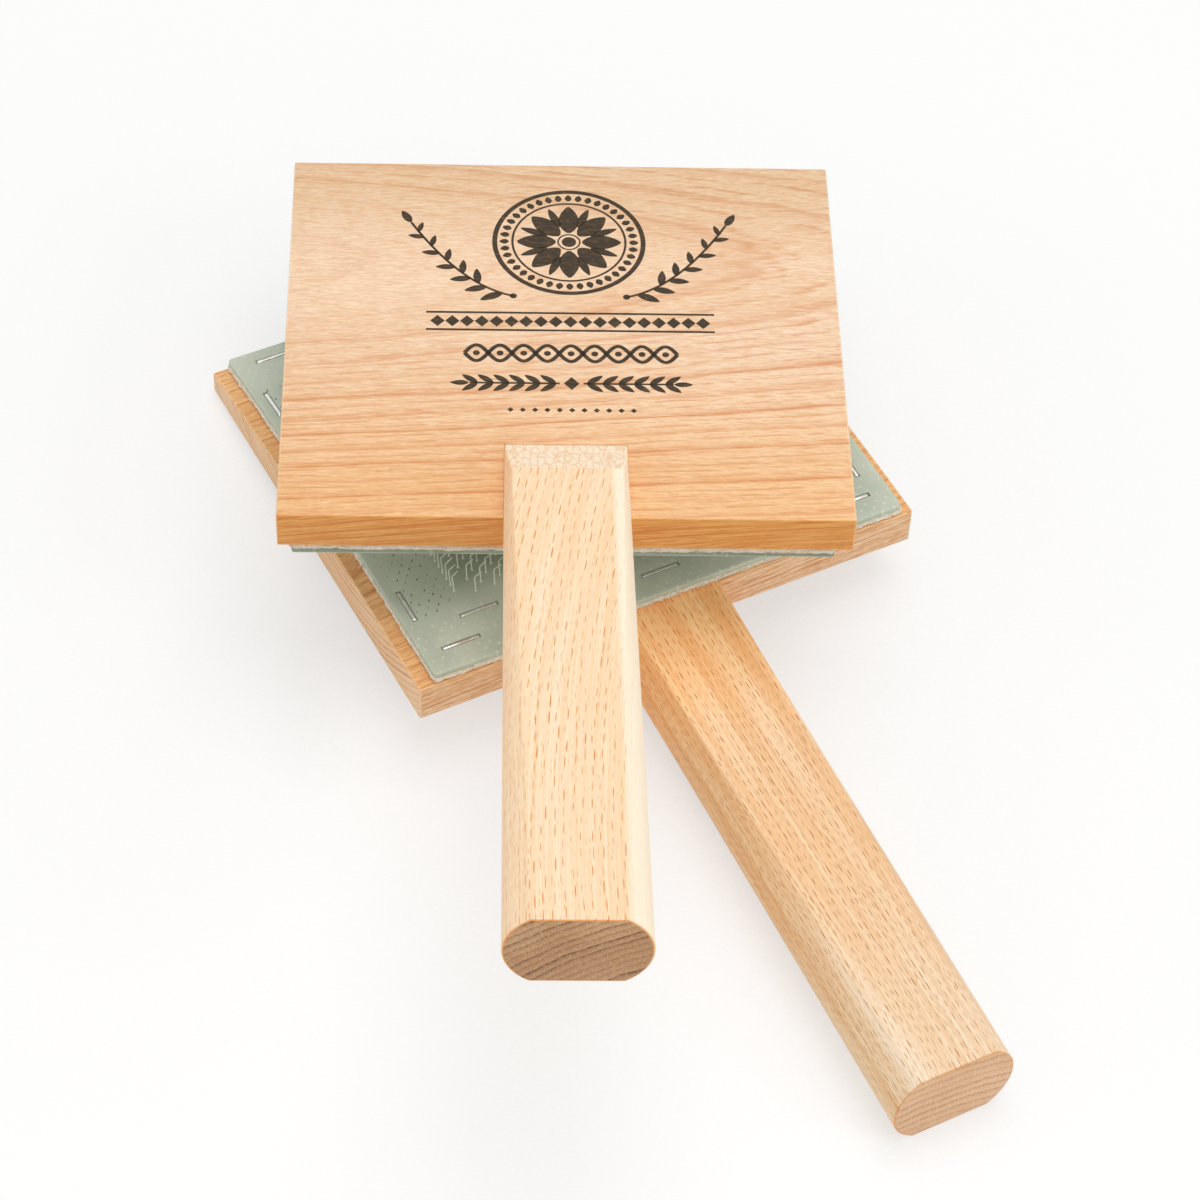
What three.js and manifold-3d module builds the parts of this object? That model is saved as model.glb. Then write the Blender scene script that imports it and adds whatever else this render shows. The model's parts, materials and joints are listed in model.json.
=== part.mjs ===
// A pair of hand carders lying teeth to teeth: the lower card on its back, the upper one face down on it.
// Millimetres, +Z up, the origin under the middle of the pair on the surface that it lies on.
//
// Both cards are built alike in a card frame: X across the card, Y from the handle towards the toe with 0
// at the board's near edge, and Z out of the teeth face with 0 at the flat back.

import * as THREE from 'three';
import { mergeGeometries, mergeVertices } from 'three/addons/utils/BufferGeometryUtils.js';
import Module from 'manifold-3d';

const wasm = await Module();
wasm.setup();

const DEGREE = Math.PI / 180;

// Back board: flat back, teeth face crowned from handle to toe
const BOARD_WIDTH = 165;
const BOARD_DEPTH = 150;
const BOARD_THICKNESS = 13.7; // at the top of the crown
const FACE_RADIUS = 860; // of the crowned teeth face
const CROWN_Y = 45; // where the crown is highest
const FACE_FACETS = 14;

// Handle: flat above and below, bulged sides, flush with the teeth face where it leaves the board
const HANDLE_REACH = 168.7; // from the board's near edge to the end face
const HANDLE_INSET = 29; // how far its tongue runs into the board
const HANDLE_TILT = 7.5 * DEGREE; // away from the teeth
const HANDLE_THICKNESS = 25.4;
const HANDLE_END_WIDTH = 38.5;
const HANDLE_END_FLAT = 24.5; // width of the flats at the end
const HANDLE_NEAR_WIDTH = 36.1; // at the board's near edge
const HANDLE_NEAR_FLAT = 31.5;
const HANDLE_SIDE_FACETS = 10;
const TIP_BEVEL = 30 * DEGREE; // of the tongue's end, measured from the board's back

// Card clothing: woven cotton backing with a rubber face, cut to leave a border of bare board
const CLOTH_LEFT_BORDER = 5;
const CLOTH_RIGHT_BORDER = 3.8;
const CLOTH_NEAR_BORDER = 0.8;
const CLOTH_FAR_BORDER = 0.6;
const CLOTH_CORNER = 1.5;
const CLOTH_CORNER_FACETS = 3;
const BACKING_THICKNESS = 1.6;
const RUBBER_THICKNESS = 1.6;

// Wire teeth: each leans away from the handle up to its knee and back towards the handle above it
const WIRE_DIAMETER = 0.5;
const WIRE_SIDES = 3;
const TOOTH_HEIGHT = 12;
const KNEE_HEIGHT = 5;
const LEG_LEAN = 14 * DEGREE;
const POINT_LEAN = 35 * DEGREE;
const TEETH_COLUMNS = 14;
const TEETH_ROWS = 12;
const TEETH_SIDE_MARGIN = 19; // from the cloth's edges to the outermost teeth
const TEETH_NEAR_MARGIN = 23.6;
const TEETH_FAR_MARGIN = 20.3;
const TWILL_STEPS = 3; // rows until the sideways step repeats
const FIELD_BORDER = 3.5; // of the slice round the outermost teeth
const SLICE_THICKNESS = 0.65;
const ROOT_DEPTH = 0.4; // of a tooth in its slice

// Tacking staples, in runs along the cloth's edges: inset from the edge that a run follows, and from the
// edges at its two ends
const STAPLE_CROWN = 12;
const STAPLE_LEG = 8;
const STAPLE_WIRE_WIDTH = 1.2;
const STAPLE_WIRE_THICKNESS = 0.55;
const STAPLE_RUNS = {
  near: { count: 5, inset: 8.1, start: 12.4, end: 12.9 },
  inner: { count: 2, inset: 17, start: 22.5, end: 22.2 },
  far: { count: 5, inset: 5.2, start: 13.6, end: 13.4 },
  left: { count: 4, inset: 3.9, start: 26.9, end: 26.2 },
  right: { count: 4, inset: 6.3, start: 21.8, end: 31.9 },
};

// How the pair lies
const STACK_TURN = 26.3 * DEGREE; // between the two handles
const STACK_X = -34.2; // upper card's near edge, in the lower card's frame, before it settles
const STACK_Y = 4.9;
const STACK_CLEARANCE = 0.3; // between the points that meet
const POINT_REACH = 1; // sideways, within which two points meet as the card comes down
const LOWER_TURN = 26.4 * DEGREE; // of the lower card on its surface

const FIT_GAP = 0.25; // between neighbours that touch
const OVERCUT = 5; // by which a cutting shape runs past what it cuts
const MERGE_DISTANCE = 1e-4; // within which corners are one

// Heights above the teeth face
const BACKING_BASE = FIT_GAP;
const BACKING_TOP = BACKING_BASE + BACKING_THICKNESS;
const RUBBER_BASE = BACKING_TOP + FIT_GAP;
const RUBBER_TOP = RUBBER_BASE + RUBBER_THICKNESS;
const SLICE_BASE = RUBBER_TOP - SLICE_THICKNESS;

// The cloth's edges and the field of its teeth
const CLOTH_LEFT = CLOTH_LEFT_BORDER - BOARD_WIDTH / 2;
const CLOTH_RIGHT = BOARD_WIDTH / 2 - CLOTH_RIGHT_BORDER;
const CLOTH_NEAR = CLOTH_NEAR_BORDER;
const CLOTH_FAR = BOARD_DEPTH - CLOTH_FAR_BORDER;
const TEETH_LEFT = CLOTH_LEFT + TEETH_SIDE_MARGIN;
const TEETH_RIGHT = CLOTH_RIGHT - TEETH_SIDE_MARGIN;
const TEETH_NEAR = CLOTH_NEAR + TEETH_NEAR_MARGIN;
const TEETH_FAR = CLOTH_FAR - TEETH_FAR_MARGIN;

const MATERIALS = {
  board: { color: 0xdcaf80, roughness: 0.6, metalness: 0 },
  handle: { color: 0xefcda3, roughness: 0.55, metalness: 0 },
  cotton: { color: 0xdccbb4, roughness: 0.95, metalness: 0 },
  rubber: { color: 0xa8b2a0, roughness: 0.75, metalness: 0 },
  wire: { color: 0xb4b6a6, roughness: 0.35, metalness: 0.9 },
  staple: { color: 0xc6c6c2, roughness: 0.25, metalness: 1 },
};

// ---------------------------------------------------------------- solids

function toSolid(geometry) {
  const bare = geometry.clone();
  bare.deleteAttribute('normal');
  bare.deleteAttribute('uv');
  const merged = mergeVertices(bare, MERGE_DISTANCE);
  return new wasm.Manifold(new wasm.Mesh({
    numProp: 3,
    vertProperties: new Float32Array(merged.attributes.position.array),
    triVerts: new Uint32Array(merged.index.array),
  }));
}

function toGeometry(solid) {
  const mesh = solid.getMesh();
  const geometry = new THREE.BufferGeometry();
  geometry.setAttribute('position', new THREE.BufferAttribute(new Float32Array(mesh.vertProperties), 3));
  geometry.setIndex(new THREE.BufferAttribute(new Uint32Array(mesh.triVerts), 1));
  geometry.computeVertexNormals();
  return geometry;
}

// An outline drawn in Y and Z, run across the card from one X to another
function acrossCard(outline, left, right) {
  const geometry = new THREE.ExtrudeGeometry(outline, {
    depth: right - left, bevelEnabled: false, curveSegments: FACE_FACETS / 2,
  });
  const turn = new THREE.Matrix4().makeBasis(
    new THREE.Vector3(0, 1, 0), new THREE.Vector3(0, 0, 1), new THREE.Vector3(1, 0, 0));
  return geometry.applyMatrix4(turn).translate(left, 0, 0);
}

// ---------------------------------------------------------------- the crowned teeth face

const FACE_CENTRE_Z = BOARD_THICKNESS - FACE_RADIUS;

function faceAngle(y) {
  return Math.asin((y - CROWN_Y) / FACE_RADIUS);
}

function facePoint(y, height = 0) {
  const angle = faceAngle(y);
  const radius = FACE_RADIUS + height;
  return new THREE.Vector2(CROWN_Y + radius * Math.sin(angle), FACE_CENTRE_Z + radius * Math.cos(angle));
}

// Adds the arc at a height above the face to an outline, from one Y to another; the outline's last point
// is joined to it by a straight line
function addFaceArc(outline, fromY, toY, height) {
  const start = Math.PI / 2 - faceAngle(fromY);
  const end = Math.PI / 2 - faceAngle(toY);
  outline.absarc(CROWN_Y, FACE_CENTRE_Z, FACE_RADIUS + height, start, end, toY > fromY);
}

// A layer between two heights above the face, from one Y to another and from one X to another
function faceLayer([bottom, top], [near, far], [left, right]) {
  const outline = new THREE.Shape();
  addFaceArc(outline, near, far, bottom);
  addFaceArc(outline, far, near, top);
  return acrossCard(outline, left, right);
}

// Puts a small piece, drawn about its own origin with Z out of the cloth, at a place on the face
function onFace(x, y, height, turn = 0) {
  const [faceY, faceZ] = facePoint(y, height).toArray();
  return new THREE.Matrix4()
    .makeTranslation(x, faceY, faceZ)
    .multiply(new THREE.Matrix4().makeRotationX(-faceAngle(y)))
    .multiply(new THREE.Matrix4().makeRotationZ(turn));
}

// ---------------------------------------------------------------- staples

// Where a run's staple lies; the crowns lie along their run
function stapleSite(side, share) {
  const { inset, start, end } = STAPLE_RUNS[side];
  const acrossX = THREE.MathUtils.lerp(CLOTH_LEFT + start, CLOTH_RIGHT - end, share);
  const alongY = THREE.MathUtils.lerp(CLOTH_NEAR + start, CLOTH_FAR - end, share);
  switch (side) {
    case 'far': return onFace(acrossX, CLOTH_FAR - inset, RUBBER_TOP);
    case 'left': return onFace(CLOTH_LEFT + inset, alongY, RUBBER_TOP, Math.PI / 2);
    case 'right': return onFace(CLOTH_RIGHT - inset, alongY, RUBBER_TOP, Math.PI / 2);
    default: return onFace(acrossX, CLOTH_NEAR + inset, RUBBER_TOP);
  }
}

function stapleSites() {
  const sites = {};
  for (const [side, { count }] of Object.entries(STAPLE_RUNS)) {
    for (let i = 0; i < count; i += 1) {
      sites[`${side}_staple_${i + 1}`] = stapleSite(side, i / (count - 1));
    }
  }
  return sites;
}

// One staple with its crown let in flush; grow makes the slot that it sits in, open at the top
function staple(grow = 0) {
  const half = STAPLE_CROWN / 2 + grow;
  const inner = STAPLE_CROWN / 2 - STAPLE_WIRE_THICKNESS - grow;
  const top = grow > 0 ? OVERCUT : 0;
  const under = -STAPLE_WIRE_THICKNESS - grow;
  const foot = -STAPLE_LEG - grow;
  const outline = new THREE.Shape([
    [-half, foot], [-inner, foot], [-inner, under], [inner, under],
    [inner, foot], [half, foot], [half, top], [-half, top],
  ].map(([x, z]) => new THREE.Vector2(x, z)));
  const width = STAPLE_WIRE_WIDTH + 2 * grow;
  const geometry = new THREE.ExtrudeGeometry(outline, { depth: width, bevelEnabled: false });
  return geometry.rotateX(Math.PI / 2).translate(0, width / 2, 0);
}

const stapleSlots = toSolid(mergeGeometries(
  Object.values(stapleSites()).map((site) => staple(FIT_GAP).applyMatrix4(site))));

// ---------------------------------------------------------------- handle and board

// The radius of a side that bulges from the flats' edges to the full width
function bulgeRadius(width, flat) {
  const half = HANDLE_THICKNESS / 2;
  const bulge = (width - flat) / 2;
  return (half * half + bulge * bulge) / (2 * bulge);
}

// Half the width of a bulged section at a height off its middle
function halfWidth(width, flat, height) {
  const radius = bulgeRadius(width, flat);
  return width / 2 - radius + Math.sqrt(radius * radius - height * height);
}

function handleSection(grow) {
  const half = HANDLE_THICKNESS / 2;
  const radius = bulgeRadius(HANDLE_END_WIDTH, HANDLE_END_FLAT);
  const sweep = Math.asin(half / radius);
  const centre = HANDLE_END_WIDTH / 2 - radius;
  const section = new THREE.Shape();
  const k = 1 + grow / half;
  section.absarc(centre * k, 0, radius * k, -sweep, sweep, false);
  section.absarc(-centre * k, 0, radius * k, Math.PI - sweep, Math.PI + sweep, false);
  return section;
}

// The handle's bar, which widens and rounds towards its end, longer than the handle by its thickness at
// both ends; grow makes the notch that it sits in
function handleBar(grow = 0) {
  const inward = HANDLE_INSET + HANDLE_THICKNESS;
  const outward = HANDLE_REACH + HANDLE_THICKNESS;
  const bar = new THREE.ExtrudeGeometry(handleSection(grow), {
    depth: inward + outward, bevelEnabled: false, curveSegments: HANDLE_SIDE_FACETS / 2,
  }).translate(0, 0, -inward);
  const places = bar.attributes.position;
  const half = HANDLE_THICKNESS / 2;
  for (let i = 0; i < places.count; i += 1) {
    const height = THREE.MathUtils.clamp(places.getY(i) / (1 + grow / half), -half, half);
    const near = halfWidth(HANDLE_NEAR_WIDTH, HANDLE_NEAR_FLAT, height)
      / halfWidth(HANDLE_END_WIDTH, HANDLE_END_FLAT, height);
    places.setX(i, places.getX(i) * THREE.MathUtils.lerp(near, 1, places.getZ(i) / HANDLE_REACH));
  }
  const frame = new THREE.Matrix4().makeBasis(
    new THREE.Vector3(1, 0, 0),
    new THREE.Vector3(0, -Math.sin(HANDLE_TILT), Math.cos(HANDLE_TILT)),
    new THREE.Vector3(0, -Math.cos(HANDLE_TILT), -Math.sin(HANDLE_TILT)));
  const flush = facePoint(0).y;
  return bar.translate(0, -HANDLE_THICKNESS / 2, 0).applyMatrix4(frame).translate(0, 0, flush);
}

// A side view run across the whole handle and past it
function acrossHandle(outline) {
  return toSolid(acrossCard(outline, -HANDLE_END_WIDTH, HANDLE_END_WIDTH));
}

// The side view that trims the bar: a square end, and a tongue sanded flush with the teeth face
function handleTrim() {
  const below = -HANDLE_REACH;
  const above = HANDLE_REACH;
  const outline = new THREE.Shape();
  addFaceArc(outline, HANDLE_INSET, -OVERCUT, 0);
  outline.lineTo(-OVERCUT, above);
  outline.lineTo(-HANDLE_REACH, above);
  outline.lineTo(-HANDLE_REACH, below);
  outline.lineTo(HANDLE_INSET, below);
  return acrossHandle(outline);
}

// What the bevel takes off the tongue where it stands proud of the board's back
function tipBevel() {
  const drop = 2 * HANDLE_THICKNESS;
  const outline = new THREE.Shape([
    new THREE.Vector2(HANDLE_INSET, 0), new THREE.Vector2(HANDLE_INSET - drop / Math.tan(TIP_BEVEL), -drop),
    new THREE.Vector2(HANDLE_INSET + OVERCUT, -drop), new THREE.Vector2(HANDLE_INSET + OVERCUT, 0),
  ]);
  return acrossHandle(outline);
}

function handleGeometry() {
  const handle = toSolid(handleBar()).intersect(handleTrim()).subtract(tipBevel());
  return toGeometry(handle.subtract(stapleSlots));
}

// The notch in the board that the tongue is glued into, right through from the back to the teeth face
function boardNotch() {
  const end = HANDLE_INSET + FIT_GAP;
  const reach = new THREE.Shape([
    new THREE.Vector2(-OVERCUT, -BOARD_DEPTH), new THREE.Vector2(end, -BOARD_DEPTH),
    new THREE.Vector2(end, BOARD_DEPTH), new THREE.Vector2(-OVERCUT, BOARD_DEPTH),
  ]);
  return toSolid(handleBar(FIT_GAP)).intersect(acrossHandle(reach));
}

function boardGeometry() {
  const outline = new THREE.Shape();
  addFaceArc(outline, BOARD_DEPTH, 0, 0);
  outline.lineTo(0, 0);
  outline.lineTo(BOARD_DEPTH, 0);
  const board = toSolid(acrossCard(outline, -BOARD_WIDTH / 2, BOARD_WIDTH / 2));
  return toGeometry(board.subtract(boardNotch()).subtract(stapleSlots));
}

// ---------------------------------------------------------------- card clothing

// The cloth's cut shape, with its rounded corners, as a tall block
function clothPlan() {
  const r = CLOTH_CORNER;
  const plan = new THREE.Shape();
  plan.absarc(CLOTH_RIGHT - r, CLOTH_NEAR + r, r, -Math.PI / 2, 0, false);
  plan.absarc(CLOTH_RIGHT - r, CLOTH_FAR - r, r, 0, Math.PI / 2, false);
  plan.absarc(CLOTH_LEFT + r, CLOTH_FAR - r, r, Math.PI / 2, Math.PI, false);
  plan.absarc(CLOTH_LEFT + r, CLOTH_NEAR + r, r, Math.PI, 1.5 * Math.PI, false);
  return new THREE.ExtrudeGeometry(plan, {
    depth: BOARD_THICKNESS + RUBBER_TOP + OVERCUT, bevelEnabled: false, curveSegments: CLOTH_CORNER_FACETS,
  });
}

function clothLayer(heights) {
  const sheet = faceLayer(
    heights, [CLOTH_NEAR - OVERCUT, CLOTH_FAR + OVERCUT], [CLOTH_LEFT - OVERCUT, CLOTH_RIGHT + OVERCUT]);
  return toSolid(sheet).intersect(toSolid(clothPlan())).subtract(stapleSlots);
}

function backingGeometry() {
  return toGeometry(clothLayer([BACKING_BASE, BACKING_TOP]));
}

// The slice of the rubber that holds the teeth; grow makes the shallow pocket that it lies in
function teethSlice(grow = 0) {
  const border = FIELD_BORDER + grow;
  return toSolid(faceLayer(
    [SLICE_BASE - grow, grow > 0 ? RUBBER_TOP + OVERCUT : RUBBER_TOP],
    [TEETH_NEAR - border, TEETH_FAR + border], [TEETH_LEFT - border, TEETH_RIGHT + border]));
}

function rubberGeometry() {
  return toGeometry(clothLayer([RUBBER_BASE, RUBBER_TOP]).subtract(teethSlice(FIT_GAP)));
}

// ---------------------------------------------------------------- wire teeth

// One tooth as stations of its wire: the place along Y, the height, and the lean of its cross-section
function toothStations() {
  const kneeY = KNEE_HEIGHT * Math.tan(LEG_LEAN);
  const pointY = kneeY - (TOOTH_HEIGHT - KNEE_HEIGHT) * Math.tan(POINT_LEAN);
  return [
    { y: -ROOT_DEPTH * Math.tan(LEG_LEAN), z: -ROOT_DEPTH, lean: 0 },
    { y: kneeY, z: KNEE_HEIGHT, lean: (POINT_LEAN - LEG_LEAN) / 2 },
    { y: pointY, z: TOOTH_HEIGHT, lean: 0 },
  ];
}

function toothGeometry() {
  const stations = toothStations();
  const radius = WIRE_DIAMETER / 2;
  const places = [];
  for (const { y, z, lean } of stations) {
    for (let side = 0; side < WIRE_SIDES; side += 1) {
      const angle = (side / WIRE_SIDES) * 2 * Math.PI;
      const along = radius * Math.sin(angle);
      places.push(radius * Math.cos(angle), y + along * Math.cos(lean), z + along * Math.sin(lean));
    }
  }
  const faces = [];
  for (let ring = 0; ring < stations.length - 1; ring += 1) {
    for (let side = 0; side < WIRE_SIDES; side += 1) {
      const a = ring * WIRE_SIDES + side;
      const b = ring * WIRE_SIDES + ((side + 1) % WIRE_SIDES);
      faces.push(a, b, b + WIRE_SIDES, a, b + WIRE_SIDES, a + WIRE_SIDES);
    }
  }
  const last = (stations.length - 1) * WIRE_SIDES;
  for (let side = 1; side < WIRE_SIDES - 1; side += 1) {
    faces.push(0, side + 1, side, last, last + side, last + side + 1);
  }
  const geometry = new THREE.BufferGeometry();
  geometry.setAttribute('position', new THREE.Float32BufferAttribute(places, 3));
  geometry.setIndex(faces);
  return geometry;
}

// Rows step sideways by a fraction of the pitch and start again, as the wire is set in a twill
function toothSites() {
  const columnPitch = (TEETH_RIGHT - TEETH_LEFT) / (TEETH_COLUMNS - 1 + (TWILL_STEPS - 1) / TWILL_STEPS);
  const rowPitch = (TEETH_FAR - TEETH_NEAR) / (TEETH_ROWS - 1);
  const sites = [];
  for (let row = 0; row < TEETH_ROWS; row += 1) {
    const step = (row % TWILL_STEPS) / TWILL_STEPS;
    for (let column = 0; column < TEETH_COLUMNS; column += 1) {
      const x = TEETH_LEFT + (column + step) * columnPitch;
      sites.push(onFace(x, TEETH_NEAR + row * rowPitch, RUBBER_TOP));
    }
  }
  return sites;
}

function teethGeometry() {
  const tooth = toothGeometry();
  const teeth = mergeGeometries(toothSites().map((site) => tooth.clone().applyMatrix4(site)));
  return toGeometry(teethSlice().add(toSolid(teeth)));
}

// ---------------------------------------------------------------- the pair

const BODIES = {
  back_board: [boardGeometry(), 'board'],
  handle: [handleGeometry(), 'handle'],
  cotton_backing: [backingGeometry(), 'cotton'],
  rubber_face: [rubberGeometry(), 'rubber'],
  wire_teeth: [teethGeometry(), 'wire'],
};

function makePiece(name, geometry, finish) {
  const mesh = new THREE.Mesh(geometry, new THREE.MeshStandardMaterial(MATERIALS[finish]));
  mesh.name = name;
  return mesh;
}

function makeCard(name) {
  const card = new THREE.Group();
  for (const [piece, [geometry, finish]] of Object.entries(BODIES)) {
    card.add(makePiece(`${name}_${piece}`, geometry, finish));
  }
  for (const [piece, site] of Object.entries(stapleSites())) {
    const mesh = makePiece(`${name}_${piece}`, staple(), 'staple');
    mesh.applyMatrix4(site);
    card.add(mesh);
  }
  return card;
}

// The lower card rests on its board's far edge and on its handle's end: the slope between the two
function restSlope() {
  const bar = HANDLE_THICKNESS / Math.cos(HANDLE_TILT);
  const endZ = facePoint(0).y - HANDLE_REACH * Math.tan(HANDLE_TILT) - bar;
  return Math.atan2(-endZ, BOARD_DEPTH + HANDLE_REACH);
}

// How far the upper card moves as it settles: it slides by the least way that brings one of its points over
// one of the lower card's, and comes down until the first points stand a clearance apart
function settling(place) {
  const tip = toothStations().at(-1);
  const points = toothSites().map((site) => new THREE.Vector3(0, tip.y, tip.z).applyMatrix4(site));
  const ways = points.flatMap((upper) => {
    const above = upper.clone().applyMatrix4(place);
    return points.map((lower) => new THREE.Vector3().subVectors(lower, above));
  });
  const length = (way) => Math.hypot(way.x, way.y) - way.z;
  const slide = ways.reduce((least, way) => (length(way) < length(least) ? way : least));
  const meeting = ways.filter((way) => Math.hypot(way.x - slide.x, way.y - slide.y) < POINT_REACH);
  const drop = Math.min(...meeting.map((way) => -way.z)) - STACK_CLEARANCE;
  return new THREE.Matrix4().makeTranslation(slide.x, slide.y, -drop);
}

function makePair() {
  const lower = makeCard('lower');
  const upper = makeCard('upper');
  const backToBack = 2 * (BOARD_THICKNESS + RUBBER_TOP + TOOTH_HEIGHT) + STACK_CLEARANCE;
  const place = new THREE.Matrix4()
    .makeTranslation(STACK_X, STACK_Y, backToBack)
    .multiply(new THREE.Matrix4().makeRotationZ(-STACK_TURN))
    .multiply(new THREE.Matrix4().makeRotationY(Math.PI)); // face down
  upper.applyMatrix4(place.premultiply(settling(place)));

  const leaning = new THREE.Group();
  leaning.add(lower, upper);
  leaning.rotation.x = -restSlope();

  const pair = new THREE.Group();
  pair.add(leaning);
  pair.rotation.z = LOWER_TURN;
  return pair;
}

const group = new THREE.Group();
group.add(makePair());
group.updateMatrixWorld(true);
const bounds = new THREE.Box3().setFromObject(group, true);
const middle = bounds.getCenter(new THREE.Vector3());
group.position.set(-middle.x, -middle.y, -bounds.min.z);
group.updateMatrixWorld(true);

export default group;
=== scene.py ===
"""Looks of a pair of hand carders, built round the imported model.

Sizes are millimetres in a card's own frame: x across the board, y from the handle to the toe with 0 at the
board's near edge, and z out of the teeth face with 0 at the flat back.
"""

import json
import logging
import math
from collections.abc import Sequence
from dataclasses import dataclass, field, replace
from enum import Enum, IntEnum

import bpy
import numpy as np
from mathutils import Matrix, Vector


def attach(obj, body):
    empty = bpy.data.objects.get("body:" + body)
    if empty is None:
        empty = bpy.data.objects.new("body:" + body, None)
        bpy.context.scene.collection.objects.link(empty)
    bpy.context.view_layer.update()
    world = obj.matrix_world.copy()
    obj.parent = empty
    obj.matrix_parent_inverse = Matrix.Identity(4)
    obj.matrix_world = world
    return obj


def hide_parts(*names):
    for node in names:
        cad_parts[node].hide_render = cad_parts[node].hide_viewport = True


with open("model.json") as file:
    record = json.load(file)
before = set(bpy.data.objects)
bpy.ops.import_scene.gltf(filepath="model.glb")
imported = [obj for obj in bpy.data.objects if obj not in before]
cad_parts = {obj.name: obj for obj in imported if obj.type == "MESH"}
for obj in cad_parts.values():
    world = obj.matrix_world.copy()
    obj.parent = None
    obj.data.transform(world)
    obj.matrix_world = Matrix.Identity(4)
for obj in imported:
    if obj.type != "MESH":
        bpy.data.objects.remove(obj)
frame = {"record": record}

LOG = logging.getLogger("hand_carders")
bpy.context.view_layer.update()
MM = 0.001

Array = np.ndarray
Pair = tuple[float, float]
Triple = tuple[float, float, float]
Colour = tuple[float, float, float, float]
Socket = bpy.types.NodeSocket
Material = bpy.types.Material
Piece = bpy.types.Object


def tone(red: float, green: float, blue: float) -> Colour:
    """Turns a display colour into the linear one that shaders take.

    Each channel c, as a share of 255, becomes ((c + 0.055) / 1.055) to the power of 2.4.

    Args:
        red: Display red, 0 to 255.
        green: Display green, 0 to 255.
        blue: Display blue, 0 to 255.

    Returns:
        Linear red, green and blue with an alpha of 1.
    """
    linear = ((np.array([red, green, blue]) / 255 + 0.055) / 1.055) ** 2.4
    return (*linear.tolist(), 1.0)


def even_angles(count: int) -> Array:
    """Returns that many angles, evenly round a circle from 0."""
    return np.arange(count) / count * 2 * math.pi


def headings(angle: Array) -> Array:
    """Returns the unit vector in the plane at each angle."""
    return np.stack([np.cos(angle), np.sin(angle)], axis=-1)


# ---------------- surfaces


@dataclass
class Surface:
    """Points in millimetres with the polygons that join them.

    Attributes:
        points: One row for each point.
        polygons: Arrays of corner numbers, each array for polygons of one count of corners.
        finishes: The material slot of each of those arrays, as one number or one number a polygon.
        marks: Named values for each point, which materials read as attributes.
    """

    points: Array
    polygons: list[Array]
    finishes: list[Array] = field(default_factory=list)
    marks: dict[str, Array] = field(default_factory=dict)

    def volume(self) -> float:
        """Works out the signed volume: the sum, over each polygon's fan of triangles, of a . (b x c) / 6.

        Returns:
            The volume, which is negative where the faces point inwards.
        """
        total = 0.0
        for corners in self.polygons:
            first = self.points[corners[:, :1]]
            second, third = self.points[corners[:, 1:-1]], self.points[corners[:, 2:]]
            total += float((first * np.cross(second, third)).sum()) / 6
        return total

    def outward(self) -> "Surface":
        """Turns the faces outwards.

        Returns:
            The surface.
        """
        if self.volume() < 0:
            self.polygons = [corners[:, ::-1] for corners in self.polygons]
        return self


def joined(parts: Sequence[Surface]) -> Surface:
    """Puts several closed surfaces into one, with each part's polygons renumbered past the points before it.

    Args:
        parts: The surfaces; a mark that one lacks is 0 there.

    Returns:
        One surface that holds them all.
    """
    starts = np.cumsum([0] + [len(part.points) for part in parts])
    names = sorted({name for part in parts for name in part.marks})
    return Surface(
        np.concatenate([part.points for part in parts]),
        [corners + start for part, start in zip(parts, starts) for corners in part.polygons],
        [finish for part in parts for finish in (part.finishes or [0] * len(part.polygons))],
        {
            name: np.concatenate([part.marks.get(name, np.zeros(len(part.points))) for part in parts])
            for name in names
        },
    )


def cells(rows: int, columns: int, ring: bool = False) -> Array:
    """Lists the four corners of every cell of a grid of points.

    Args:
        rows: How many rows of points.
        columns: How many points in a row.
        ring: Whether each row closes on itself.

    Returns:
        One row of corner numbers for each cell.
    """
    row, column = np.meshgrid(np.arange(rows - 1), np.arange(columns if ring else columns - 1), indexing="ij")
    here, there = row * columns + column, row * columns + (column + 1) % columns
    return np.stack([here, there, there + columns, here + columns], axis=-1).reshape(-1, 4)


def lofted(rings: Array) -> Surface:
    """Skins a row of closed sections and closes both ends.

    Args:
        rings: Points, as sections x corners x 3.

    Returns:
        The closed surface; its polygon arrays are the sides, the first end and the last end.
    """
    rows, corners = rings.shape[:2]
    last = (rows - 1) * corners + np.arange(corners)
    return Surface(
        rings.reshape(-1, 3),
        [cells(rows, corners, ring=True), np.arange(corners)[None, ::-1], last[None]],
        [0, 0, 0],
    ).outward()


def repeated(rings: Array) -> Surface:
    """Skins many alike rows of closed sections at once.

    Args:
        rings: Points, as copies x sections x corners x 3.

    Returns:
        All the closed copies as one surface.
    """
    copies, rows, corners = rings.shape[:3]
    one = lofted(rings[0])
    steps = (np.arange(copies) * rows * corners)[:, None, None]
    polygons = [(array[None] + steps).reshape(-1, array.shape[1]) for array in one.polygons]
    return Surface(rings.reshape(-1, 3), polygons, [0, 0, 0]).outward()


def slab(upper: Array, lower: Array) -> Surface:
    """Closes two grids of points, one over the other, with a wall round their edge.

    Args:
        upper: The upper grid, as rows x columns x 3.
        lower: The lower grid, of the same shape.

    Returns:
        The closed surface.
    """
    rows, columns = upper.shape[:2]
    number = np.arange(rows * columns).reshape(rows, columns)
    rim = np.concatenate([number[0, :-1], number[:-1, -1], number[-1, :0:-1], number[:0:-1, 0]])
    following = np.roll(rim, -1)
    wall = np.stack([rim, following, following + number.size, rim + number.size], axis=-1)[:, ::-1]
    top = cells(rows, columns)
    points = np.concatenate([upper.reshape(-1, 3), lower.reshape(-1, 3)])
    return Surface(points, [top, top[:, ::-1] + number.size, wall], [0, 0, 0]).outward()


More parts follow.
